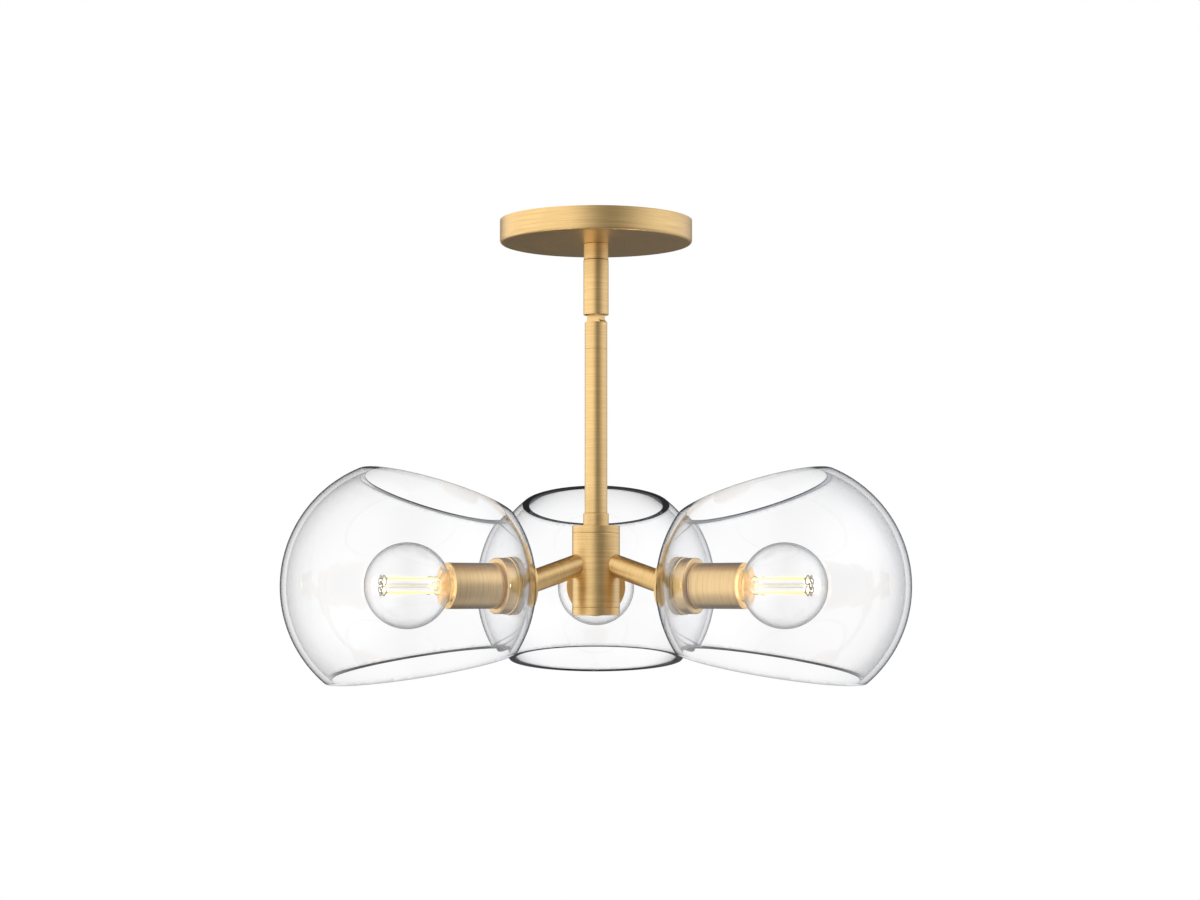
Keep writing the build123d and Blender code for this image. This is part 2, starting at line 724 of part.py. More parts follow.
def bulb_mount(number, azimuth):
    """The glass mount inside the lamp: a flare, its pinch and the long centre rod."""
    flare_back = cap_front - cap_rim_length
    flare_radius = mount_flare_diameter / 2
    neck_radius = mount_neck_diameter / 2
    rod_radius = mount_rod_diameter / 2
    flare_front = flare_back + mount_flare_length
    neck_front = flare_front + mount_neck_length
    rod_end = neck_front + filament_length + filament_diameter
    with BuildPart() as mount:
        with BuildSketch(side_plane(azimuth)):
            with BuildLine():
                Polyline((flare_back, 0), (flare_back, flare_radius), (flare_back + bulb_wall, flare_radius))
                TangentArc((flare_front, neck_radius), (flare_back + bulb_wall, flare_radius),
                           tangent=(-1, 0))
                Polyline((flare_front, neck_radius), (neck_front, neck_radius), (neck_front, rod_radius),
                         (rod_end, rod_radius), (rod_end, 0), (flare_back, 0))
            make_face()
        revolve(axis=socket_axis(azimuth))
    save(mount, f"bulb_mount_{number}")


def bulb_filaments(number, azimuth):
    """The light sticks around the mount's rod, with the wire spokes that carry them."""
    circle_radius = filament_circle_diameter / 2
    ring_bore = mount_rod_diameter / 2 + slip_clearance
    mount_gap = mount_neck_diameter / 2 + slip_clearance
    neck_front = cap_front - cap_rim_length + mount_flare_length + mount_neck_length
    stick_back = neck_front - 2 * spoke_width
    stick_front = stick_back + filament_length
    half_step = 180 / filament_count
    with BuildPart() as filaments:
        with BuildSketch(face_plane(azimuth, stick_back)):
            with PolarLocations(circle_radius, filament_count, start_angle=half_step):
                Circle(filament_diameter / 2)
        extrude(amount=filament_length)
        with BuildSketch(face_plane(azimuth, stick_front - spoke_width)):
            Circle(ring_bore + spoke_width)
            with PolarLocations((circle_radius + ring_bore) / 2, filament_count, start_angle=half_step):
                Rectangle(circle_radius - ring_bore, spoke_width)
            Circle(ring_bore, mode=Mode.SUBTRACT)
        extrude(amount=spoke_width)
        with BuildSketch(face_plane(azimuth, stick_back)):
            with PolarLocations((circle_radius + mount_gap) / 2, filament_count, start_angle=half_step):
                Rectangle(circle_radius - mount_gap, spoke_width)
        extrude(amount=spoke_width)
    save(filaments, f"bulb_filaments_{number}")


os.makedirs("parts", exist_ok=True)
ceiling_bracket()
ground_screw()
lock_washer()
hex_nut("bracket_nut", -bracket_thickness - washer_thickness)
threaded_tube("ceiling_nipple", -seam_gap, sleeve_top - sleeve_top_thickness - thread_engagement)
canopy()
bored_disc("canopy_collar", canopy_bottom, canopy_collar_height, canopy_collar_diameter)
swivel_sleeve()
swivel_yoke()
swivel_pins()
swivel_knuckle()
threaded_tube("stem_nipple", knuckle_bottom + thread_engagement, knuckle_bottom - thread_engagement)
stem_rod()
bored_disc("stem_collar", rod_bottom, stem_collar_height, stem_collar_diameter)
threaded_tube("hub_nipple", rod_bottom + thread_engagement, hub_body_top - nut_height - edge_break)
hub_top_cap()
hex_nut("hub_nut", hub_body_top)
hub_body()
hub_bottom_cap()
for number, azimuth in enumerate(azimuths, start=1):
    arm(number, azimuth)
    seat_disc(number, azimuth)
    shade_gaskets(number, azimuth)
    glass_shade(number, azimuth)
    socket_cup(number, azimuth)
    retaining_ring(number, azimuth)
    lampholder(number, azimuth)
    lampholder_contacts(number, azimuth)
    bulb_envelope(number, azimuth)
    bulb_cap(number, azimuth)
    bulb_insulator(number, azimuth)
    bulb_mount(number, azimuth)
    bulb_filaments(number, azimuth)
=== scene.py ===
import logging
from abc import ABC, abstractmethod
from collections.abc import Callable
from dataclasses import dataclass, field
from enum import Enum
from math import atan2, cos, pi, radians, sin, sqrt
from typing import NamedTuple, Union

import bmesh
import bpy
from mathutils import Matrix, Vector
from mathutils.geometry import delaunay_2d_cdt


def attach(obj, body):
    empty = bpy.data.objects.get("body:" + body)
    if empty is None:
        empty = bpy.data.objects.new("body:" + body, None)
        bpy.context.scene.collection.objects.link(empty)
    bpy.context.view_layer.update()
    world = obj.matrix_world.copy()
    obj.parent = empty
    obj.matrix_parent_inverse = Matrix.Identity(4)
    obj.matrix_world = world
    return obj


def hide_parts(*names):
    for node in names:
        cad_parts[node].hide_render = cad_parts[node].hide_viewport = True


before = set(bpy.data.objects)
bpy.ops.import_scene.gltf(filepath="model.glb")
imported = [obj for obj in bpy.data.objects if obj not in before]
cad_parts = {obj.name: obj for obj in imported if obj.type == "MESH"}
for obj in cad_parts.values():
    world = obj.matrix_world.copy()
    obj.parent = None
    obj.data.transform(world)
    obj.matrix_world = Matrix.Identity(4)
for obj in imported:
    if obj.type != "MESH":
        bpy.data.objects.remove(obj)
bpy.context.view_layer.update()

# A ceiling light in brushed gold with three clear glass globes, dressed for looks.
# The scene is in metres, on the same origin as the solids: the ceiling at the canopy's
# centre, with +Z up. The sizes that the sub-assemblies hold are in millimetres.

MM = 0.001
TURN = 2 * pi
# The rim mark is the mesh attribute along which the glass's base colour paints near-black shade on
# the cut rims.
RIM_MARK = "rim"
log = logging.getLogger("ceiling_light")

Colour = tuple[float, float, float]
Point = tuple[float, float, float]
Outline = list[tuple[float, float]]
Operand = Union["Signal", float]
WHITE: Colour = (1.0, 1.0, 1.0)
LIGHT_AZIMUTHS = (90.0, 210.0, 330.0)


class Lens(Enum):
    """The parts of the camera's set-up that were fitted to the photograph."""

    FOCAL_LENGTH = 70.11
    PITCH = 3.6055
    YAW = -0.1005


class Thread(Enum):
    """Pitch and depth, in millimetres, of each screw thread on the light."""

    LAMP_CAP = (3.63, 0.72)
    NIPPLE = (0.94, 0.34)
    SOCKET_CUP = (1.5, 0.2)

    @property
    def pitch(self) -> float:
        """The distance from one ridge to the next, in metres."""
        return self.value[0] * MM

    @property
    def depth(self) -> float:
        """The height of a ridge, in metres."""
        return self.value[1] * MM


@dataclass(frozen=True)
class TurningAxis:
    """A line that pieces are turned about, with the frame whose Z runs along it."""

    origin: Point
    direction: Point

    @property
    def matrix(self) -> Matrix:
        """Works out the axis's frame.

        Returns:
            The change from the axis's own coordinates to the light's.
        """
        along = Vector(self.direction).normalized()
        across = Vector((0, 0, 1)) if abs(along.z) < 0.9 else Vector((1, 0, 0))
        side = along.cross(across).normalized()
        turned = Matrix((side.cross(along), side, along)).transposed()
        return Matrix.Translation(self.origin) @ turned.to_4x4()


STEM_AXIS = TurningAxis((0.0, 0.0, 0.0), (0.0, 0.0, 1.0))


def both_ways(operation: str) -> tuple[Callable, Callable]:
    """Makes one of Python's operators for signals.

    Args:
        operation: The Math node's operation, such as MULTIPLY.

    Returns:
        The operator's plain and reflected forms.
    """
    def plain(self: "Signal", other: Operand) -> "Signal":
        """This value, then the other."""
        return self.graph.maths(operation, self, other)

    def reflected(self: "Signal", other: Operand) -> "Signal":
        """The other value, then this."""
        return self.graph.maths(operation, other, self)

    return plain, reflected


class Signal:
    """A node's output. Python's operators on it add Math nodes, so a pattern reads as a sum."""

    def __init__(self, graph: "Graph", node: bpy.types.Node, output: int | str = 0) -> None:
        """Keeps the graph, the node and the socket of one output."""
        self.graph, self.node = graph, node
        self.socket = node.outputs[output] if node.outputs else None

    __add__, __radd__ = both_ways("ADD")
    __sub__, __rsub__ = both_ways("SUBTRACT")
    __mul__, __rmul__ = both_ways("MULTIPLY")
    __truediv__, __rtruediv__ = both_ways("DIVIDE")
    __pow__, __rpow__ = both_ways("POWER")

    def output(self, name: int | str) -> "Signal":
        """Another output of the same node."""
        return Signal(self.graph, self.node, name)

    def larger(self, other: Operand) -> "Signal":
        """The larger of this and the other."""
        return self.graph.maths("MAXIMUM", self, other)

    def smaller(self, other: Operand) -> "Signal":
        """The smaller of this and the other."""
        return self.graph.maths("MINIMUM", self, other)

    def above(self, other: Operand) -> "Signal":
        """1 where this is more than the other, else 0."""
        return self.graph.maths("GREATER_THAN", self, other)

    def step(self, low: float, high: float) -> "Signal":
        """A smooth step, from 0 at the low value to 1 at the high one."""
        inputs = {"Value": self, "From Min": low, "From Max": high, "To Min": 0.0, "To Max": 1.0}
        return self.graph.node("ShaderNodeMapRange", inputs, interpolation_type="SMOOTHSTEP")


class Graph:
    """A node tree that is built in order, one call for each node."""

    def __init__(self, tree: bpy.types.NodeTree) -> None:
        """Empties the tree and keeps it."""
        self.tree = tree
        self.tree.nodes.clear()

    def node(self, kind: str, inputs: dict | None = None, output: int | str = 0,
             **settings: object) -> Signal:
        """Adds one node.

        Args:
            kind: The node's type.
            inputs: The values or links of its sockets, by name or number.
            output: The output that is wanted.
            **settings: The node's own properties, which are set first.

        Returns:
            That output.
        """
        made = self.tree.nodes.new(kind)
        for name, value in settings.items():
            setattr(made, name, value)
        for name, value in (inputs or {}).items():
            if isinstance(value, Signal):
                self.tree.links.new(value.socket, made.inputs[name])
            else:
                made.inputs[name].default_value = value
        return Signal(self, made, output)

    def maths(self, operation: str, *values: Operand) -> Signal:
        """One Math node with its operation and its values in order."""
        return self.node("ShaderNodeMath", dict(enumerate(values)), operation=operation)

    def vector(self, x: Operand, y: Operand, z: Operand) -> Signal:
        """Three values as one vector."""
        return self.node("ShaderNodeCombineXYZ", {"X": x, "Y": y, "Z": z})

    def parts(self, vector: Signal) -> tuple[Signal, Signal, Signal]:
        """A vector's three values."""
        first = self.node("ShaderNodeSeparateXYZ", {0: vector})
        return first, first.output("Y"), first.output("Z")


class Surface(Graph):
    """A material's shader tree, with the few patterns that the finishes share."""

    def __init__(self, name: str) -> None:
        """Makes an empty material.

        Args:
            name: The material's name.
        """
        self.material = bpy.data.materials.new(name)
        self.material.use_nodes = True
        super().__init__(self.material.node_tree)

    def seat(self) -> Signal:
        """The place on the piece, in the light's own coordinates."""
        return self.node("ShaderNodeTexCoord", output="Object")

    def place(self, axis: TurningAxis) -> tuple[Signal, Signal, Signal]:
        """The place on the piece, in an axis's frame.

        Args:
            axis: The axis that the piece is turned about.

        Returns:
            The three coordinates, with the last one along the axis.
        """
        matrix = axis.matrix
        local = self.node("ShaderNodeMapping", {
            "Vector": self.seat(), "Location": matrix.to_translation(),
            "Rotation": matrix.to_euler()}, vector_type="TEXTURE")
        return self.parts(local)

    def noise(self, vector: Signal, scale: float, detail: float, roughness: float) -> Signal:
        """Soft noise from 0 to 1.

        Args:
            vector: Where it is read.
            scale: How many swells there are in a unit of the vector.
            detail: How many finer layers it has.
            roughness: How strong the finer layers are.

        Returns:
            The noise's height.
        """
        return self.node("ShaderNodeTexNoise", {
            "Vector": vector, "Scale": scale, "Detail": detail, "Roughness": roughness},
            noise_dimensions="3D")

    def blend(self, share: Operand, low: Signal | Colour, high: Signal | Colour) -> Signal:
        """Mixes two colours.

        Args:
            share: How much there is of the second, from 0 to 1.
            low: The first colour.
            high: The second colour.

        Returns:
            The mixed colour.
        """
        pair = [value if isinstance(value, Signal) else (*value, 1.0) for value in (low, high)]
        return self.node("ShaderNodeMix", {0: share, 6: pair[0], 7: pair[1]}, 2, data_type="RGBA")

    def bump(self, height: Signal, depth: float, strength: float = 0.5) -> Signal:
        """Normals from a height of 0 to 1, where 1 stands for a depth in metres."""
        inputs = {"Height": height, "Distance": depth, "Strength": strength}
        return self.node("ShaderNodeBump", inputs)

    def shade(self, inputs: dict) -> Signal:
        """The main shader, whose colours may be given with three parts."""
        full = {name: (*value, 1.0) if isinstance(value, tuple) else value
                for name, value in inputs.items()}
        return self.node("ShaderNodeBsdfPrincipled", full)

    def light(self, colour: Signal | Colour = WHITE, strength: float = 1.0) -> Signal:
        """A shader that gives light of one colour."""
        full = colour if isinstance(colour, Signal) else (*colour, 1.0)
        return self.node("ShaderNodeEmission", {"Color": full, "Strength": strength})

    def mix(self, share: Signal, first: Signal, second: Signal) -> Signal:
        """Two shaders, with a share from 0 to 1 of the second."""
        return self.node("ShaderNodeMixShader", {0: share, 1: first, 2: second})

    def close(self, shader: Signal) -> bpy.types.Material:
        """Joins the shader to the output and hands the material over."""
        self.node("ShaderNodeOutputMaterial", {"Surface": shader})
        return self.material


@dataclass(frozen=True)
class Finish(ABC):
    """A finish, which becomes a material of its own name."""

    name: str

    @abstractmethod
    def material(self) -> bpy.types.Material:
        """The finish's material."""


@dataclass(frozen=True)
class BrushedGold(Finish):
    """Aged gold, brushed round the axis that the piece was turned on.

    Each kind of stroke has its number in a metre round the axis and across it, and the
    strength of its finer layers.
    """

    axis: TurningAxis
    bright: Colour = (0.87, 0.60, 0.265)
    deep: Colour = (0.56, 0.375, 0.15)
    tarnish: Colour = (0.46, 0.34, 0.17)
    band_strokes: tuple[float, float, float] = (9.0, 260.0, 0.5)
    line_strokes: tuple[float, float, float] = (14.0, 1900.0, 0.6)
    hair_strokes: tuple[float, float, float] = (34.0, 3400.0, 0.6)
    patches_per_metre: float = 21.0
    middle_tone: float = 0.67
    roughness: float = 0.36
    stroke_depth: float = 0.00003

    def material(self) -> bpy.types.Material:
        """Long soft brush lines, finer hairlines across them and faint darker patches.

        Returns:
            The material.
        """
        surface = Surface(self.name)
        x, y, z = surface.place(self.axis)
        across = z + (x * x + y * y) ** 0.5

        def strokes(round_axis: float, over_axis: float, fineness: float) -> Signal:
            """Streaks that run round the axis."""
            streak = surface.vector(x * round_axis, y * round_axis, across * over_axis)
            return surface.noise(streak, 1.0, 2.0, fineness)

        bands, lines = strokes(*self.band_strokes), strokes(*self.line_strokes)
        hairs = strokes(*self.hair_strokes)
        spread = self.patches_per_metre
        spot = surface.vector(x * spread, y * spread, z * spread)
        patches = surface.noise(spot, 1.0, 4.0, 0.6).step(0.42, 0.78)
        tone = ((lines - 0.5) * 1.05 + (bands - 0.5) * 0.15 + (hairs - 0.5) * 2.0
                + self.middle_tone)
        metal = surface.blend(tone.larger(0.0).smaller(1.0), self.deep, self.bright)
        rough = (lines - 0.5) * 0.16 + (hairs - 0.5) * 0.08 + patches * 0.07 + self.roughness
        return surface.close(surface.shade({
            "Base Color": surface.blend(patches * 0.22, metal, self.tarnish),
            "Metallic": 1.0, "Roughness": rough, "Coat Weight": 0.12, "Coat Roughness": 0.35,
            "Normal": surface.bump(lines * 0.65 + hairs * 0.35, self.stroke_depth)}))


@dataclass(frozen=True)
class PlatedSteel(Finish):
    """Plated steel with a faint spangle, drawing lines and dull spots."""

    axis: TurningAxis = STEM_AXIS
    pale: Colour = (0.66, 0.67, 0.66)
    dark: Colour = (0.42, 0.43, 0.44)
    hint: Colour = (0.62, 0.58, 0.44)
    roughness: float = 0.34
    spangles_per_metre: float = 620.0
    lines_per_metre: float = 2600.0
    line_depth: float = 0.00003

    def material(self) -> bpy.types.Material:
        """A cell pattern for the spangle, with drawn lines and dull spots over it.

        Returns:
            The material.
        """
        surface = Surface(self.name)
        x, y, z = surface.place(self.axis)
        spot = surface.vector(x, y, z)
        cells = surface.node("ShaderNodeTexVoronoi", {
            "Vector": spot, "Scale": self.spangles_per_metre}, "Color")
        spangle = surface.parts(cells)[0]
        fine = self.lines_per_metre
        drawn = surface.noise(surface.vector(x * fine, y * 60, z * fine), 1.0, 3.0, 0.6)
        dull = surface.noise(spot, 90.0, 4.0, 0.6)
        metal = surface.blend(spangle * 0.4 + drawn * 0.35 + dull * 0.25, self.dark, self.pale)
        rough = (dull - 0.5) * 0.25 + (drawn - 0.5) * 0.12 + self.roughness
        return surface.close(surface.shade({
            "Base Color": surface.blend(dull.step(0.45, 0.8) * 0.5, metal, self.hint),
            "Metallic": 0.95, "Roughness": rough,
            "Normal": surface.bump(drawn * 0.5 + dull * 0.5, self.line_depth)}))


@dataclass(frozen=True)
class ClearGlass(Finish):
    """Clear glass with a slow ripple. Its base colour paints shade: dark at grazing looks and along
    its outline, near black on its cut rims.
    """

    tint: Colour = (0.985, 0.985, 0.987)
    # Painted shade: the edge colour darkens the glass where a look grazes it and in a band along
    # its outline, and the rim colour makes the cut rims near black, for the dark surroundings that
    # real glass refracts there.
    edge: Colour = (0.015, 0.015, 0.018)
    edge_shade_power: float = 3.0
    rim: Colour = (0.008, 0.008, 0.01)
    outline_shade_band: tuple[float, float] = (0.70, 0.90)
    ripple_scale: float = 22.0
    ripple_depth: float = 0.00004
    smear: float = 0.01
    light_passed: float = 0.96
    wall_reach: float = 0.014
    faintness: float = 0.0

    def material(self) -> bpy.types.Material:
        """Refracting glass, which lamp light and what metal mirrors from afar come through.

        Returns:
            The material.
        """
        surface = Surface(self.name)
        seat = surface.seat()
        slow = surface.noise(seat, self.ripple_scale, 1.0, 0.4)
        smears = surface.noise(seat, self.ripple_scale * 2.3, 3.0, 0.5).step(0.62, 0.9)
        grazing = surface.node("ShaderNodeLayerWeight", {"Blend": 0.5}, "Facing")
        # Painted shade: the base colour goes dark where a look grazes the glass, in a band along
        # its outline and on the rims marked on the mesh.
        outline = (grazing ** self.edge_shade_power).larger(grazing.step(*self.outline_shade_band))
        cut = surface.node("ShaderNodeAttribute", output="Fac", attribute_name=RIM_MARK)
        wall = surface.blend(outline, self.tint, self.edge)
        glass = surface.shade({
            "Base Color": surface.blend(cut, wall, self.rim), "Metallic": 0.0,
            "Roughness": smears * self.smear, "IOR": 1.5, "Transmission Weight": 1.0,
            "Normal": surface.bump(slow, self.ripple_depth, 1.0)})
        passed = (self.light_passed,) * 3
        clear = surface.node("ShaderNodeBsdfTransparent", {"Color": (*passed, 1.0)})
        ray = surface.node("ShaderNodeLightPath", output="Is Shadow Ray")
        inside = surface.node("ShaderNodeNewGeometry", output="Backfacing")
        distant = ray.output("Ray Length").above(self.wall_reach).larger(1.0 - inside)
        lit = ray.larger(ray.output("Is Diffuse Ray"))
        lit = lit.larger(ray.output("Is Reflection Ray") * distant).larger(self.faintness)
        return surface.close(surface.mix(lit, glass, clear))


@dataclass(frozen=True)
class Ceramic(Finish):
    """Glazed or moulded insulating stuff, cloudy, with a few dark specks."""

    pale: Colour
    shade: Colour
    roughness: float = 0.25
    coat: float = 0.5
    speck: Colour = (0.12, 0.10, 0.08)
    grain_depth: float = 0.00006

    def material(self) -> bpy.types.Material:
        """Clouds in the body colour, small specks and an uneven gloss.

        Returns:
            The material.
        """
        surface = Surface(self.name)
        seat = surface.seat()
        clouds = surface.noise(seat, 120.0, 3.0, 0.5)
        grains = surface.noise(seat, 1500.0, 2.0, 0.6)
        body = surface.blend(clouds.step(0.3, 0.75), self.shade, self.pale)
        return surface.close(surface.shade({
            "Base Color": surface.blend(grains.step(0.70, 0.78) * 0.6, body, self.speck),
            "Metallic": 0.0, "Roughness": (grains - 0.5) * 0.2 + self.roughness,
            "Coat Weight": self.coat, "Coat Roughness": 0.08,
            "Normal": surface.bump(clouds * 0.8 + grains * 0.2, self.grain_depth, 0.4)}))


@dataclass(frozen=True)
class GlowingStick(Finish):
    """The light sticks' yellow coating, alight, and thinner to the look at its sides."""

    body: Colour = (0.42, 0.36, 0.18)
    body_shade: float = 0.75
    glow: Colour = (1.0, 0.91, 0.44)
    glow_deep: Colour = (1.0, 0.85, 0.32)
    strength: float = 0.86
    solid: float = 0.75
    grain_depth: float = 0.00004

    def material(self) -> bpy.types.Material:
        """A grainy yellow body under a soft glow.

        Returns:
            The material.
        """
        surface = Surface(self.name)
        seat = surface.seat()
        grains = surface.noise(seat, 2200.0, 2.0, 0.6)
        swell = surface.noise(seat, 260.0, 1.0, 0.5)
        facing = surface.node("ShaderNodeLayerWeight", {"Blend": 0.5}, "Facing")
        shaded = tuple(part * self.body_shade for part in self.body)
        glow = surface.blend(grains * 0.5 + swell * 0.3, self.glow, self.glow_deep)
        return surface.close(surface.shade({
            "Base Color": surface.blend(grains, self.body, shaded), "Metallic": 0.0,
            "Roughness": grains * 0.2 + 0.4, "Emission Color": glow,
            "Emission Strength": self.strength, "Alpha": (1.0 - facing.step(0.1, 0.9)) * self.solid,
            "Normal": surface.bump(grains, self.grain_depth)}))


@dataclass(frozen=True)
class DarkWire(Finish):
    """Thin nickel wire, heat-marked where it was welded."""

    plain: Colour = (0.16, 0.15, 0.15)
    marked: Colour = (0.05, 0.04, 0.04)
    line_depth: float = 0.00001

    def material(self) -> bpy.types.Material:
        """Blotchy dark metal.

        Returns:
            The material.
        """
        surface = Surface(self.name)
        seat = surface.seat()
        marks = surface.noise(seat, 420.0, 3.0, 0.6)
        drawn = surface.noise(seat, 5200.0, 1.0, 0.5)
        return surface.close(surface.shade({
            "Base Color": surface.blend(marks.step(0.35, 0.7), self.plain, self.marked),
            "Metallic": 1.0, "Roughness": marks * 0.3 + 0.25,
            "Normal": surface.bump(drawn, self.line_depth)}))


def enter(name: str, data: bpy.types.ID) -> bpy.types.Object:
    """Puts a mesh, curve, lamp or camera in the scene.

    Args:
        name: The new object's name.
        data: What it is made of.

    Returns:
        The object, at the origin.
    """
    made = bpy.data.objects.new(name, data)
    bpy.context.scene.collection.objects.link(made)
    return made


def evaluated_mesh(piece: bpy.types.Object) -> bpy.types.Mesh:
    """A plain mesh of a piece with all that its modifiers or curve do."""
    ready = piece.evaluated_get(bpy.context.evaluated_depsgraph_get())
    return bpy.data.meshes.new_from_object(ready)


def smooth_piece(name: str, mesh: bpy.types.Mesh, crease: float = 32.0) -> bpy.types.Object:
    """Makes a piece of a finished mesh, smooth except at its edges.

    Args:
        name: The piece's name.
        mesh: Its mesh, already in place.
        crease: The angle in degrees from which an edge stays sharp.

    Returns:
        The piece, at the origin.
    """
    for face in mesh.polygons:
        face.use_smooth = True
    mesh.set_sharp_from_angle(angle=radians(crease))
    return enter(name, mesh)


def between(start: float, end: float, steps: int) -> list[float]:
    """Numbers at equal steps from a start to an end, both included."""
    return [start + (end - start) * step / steps for step in range(steps + 1)]


@dataclass(frozen=True)
class Lathe:
    """Spins closed outlines of (reach, radius) in millimetres round an axis."""

    axis: TurningAxis = STEM_AXIS
    segments: int = 96

    def turn(self, name: str, *outlines: Outline) -> bpy.types.Object:
        """Spins outlines into one piece.

        Args:
            name: The piece's name.
            *outlines: Its closed outlines. A radius of 0 makes a pole.

        Returns:
            The piece, in place, with its faces outward.
        """
        work = bmesh.new()
        for outline in outlines:
            rings = [self.ring(work, reach, radius) for reach, radius in outline]
            for first, second in zip(rings, rings[1:] + rings[:1]):
                self.join(work, first, second)
        bmesh.ops.recalc_face_normals(work, faces=work.faces)
        mesh = bpy.data.meshes.new(name)
        work.to_mesh(mesh)
        work.free()
        mesh.transform(self.axis.matrix)
        return smooth_piece(name, mesh)

    def ring(self, work: bmesh.types.BMesh, reach: float, radius: float) -> list:
        """Adds one ring of vertices.

        Args:
            work: The mesh in the making.
            reach: The ring's place along Z.
            radius: Its radius, or 0 for a pole.

        Returns:
            The vertices, or the pole's single one.
        """
        if radius == 0:
            return [work.verts.new((0, 0, reach * MM))]
        turns = (TURN * step / self.segments for step in range(self.segments))
        return [work.verts.new((radius * MM * cos(turn), radius * MM * sin(turn), reach * MM))
                for turn in turns]

    def join(self, work: bmesh.types.BMesh, first: list, second: list) -> None:
        """Fills the strip between two neighbouring rings.

        Args:
            work: The mesh in the making.
            first: One ring's vertices.
            second: The next ring's.
        """
        if len(first) == 1 and len(second) == 1:
            return
        for step in range(self.segments):
            following = (step + 1) % self.segments
            corners = [first[step % len(first)], first[following % len(first)],
                       second[following % len(second)], second[step % len(second)]]
            work.faces.new(list(dict.fromkeys(corners)))


@dataclass(frozen=True)
class Opening:
    """A round opening in a globe: a flat cut at a distance from its centre, or a straight hole."""

    direction: Point
    reach: float
    steps: int
    fillet: float = 0.7
    straight: bool = False
    arc_steps: int = 6
    flat_steps: int = 4

    def frame(self) -> Matrix:
        """The rotation that turns Z to the opening's direction."""
        return TurningAxis((0.0, 0.0, 0.0), self.direction).matrix.to_3x3()

    def profile(self, outer: float, inner: float) -> list[tuple[float, float, float, float]]:
        """The rounded edge of the wall, from the outer sphere to the inner.

        Args:
            outer: The globe's outer radius.
            inner: Its inner radius.

        Returns:
            For each point its distance along the direction and off it, and its normal's two parts.
        """
        arcs = []
        for radius, sign in ((outer - self.fillet, 1), (inner + self.fillet, -1)):
            if self.straight:
                off = self.reach + self.fillet
                along = sqrt(radius**2 - off**2)
            else:
                along = self.reach - self.fillet
                off = sqrt(radius**2 - along**2)
            sphere_turn = atan2(off * sign, along * sign)
            if self.straight and sign < 0 and sphere_turn > 0:
                sphere_turn -= TURN
            edge_turn = -pi / 2 if self.straight else 0.0
            arcs.append([(along + self.fillet * cos(turn), off + self.fillet * sin(turn),
                          cos(turn), sin(turn))
                         for turn in between(sphere_turn, edge_turn, self.arc_steps)])
        start, finish = arcs[0][-1], arcs[1][-1]
        middle = [tuple(a + (b - a) * step / self.flat_steps for a, b in zip(start, finish))
                  for step in range(1, self.flat_steps)]
        return arcs[0] + middle + arcs[1][::-1]


class WallPoint(NamedTuple):
    """One point of a globe's wall, with its normal and how far it belongs to a cut rim."""

    spot: Vector
    normal: Vector
    mark: float


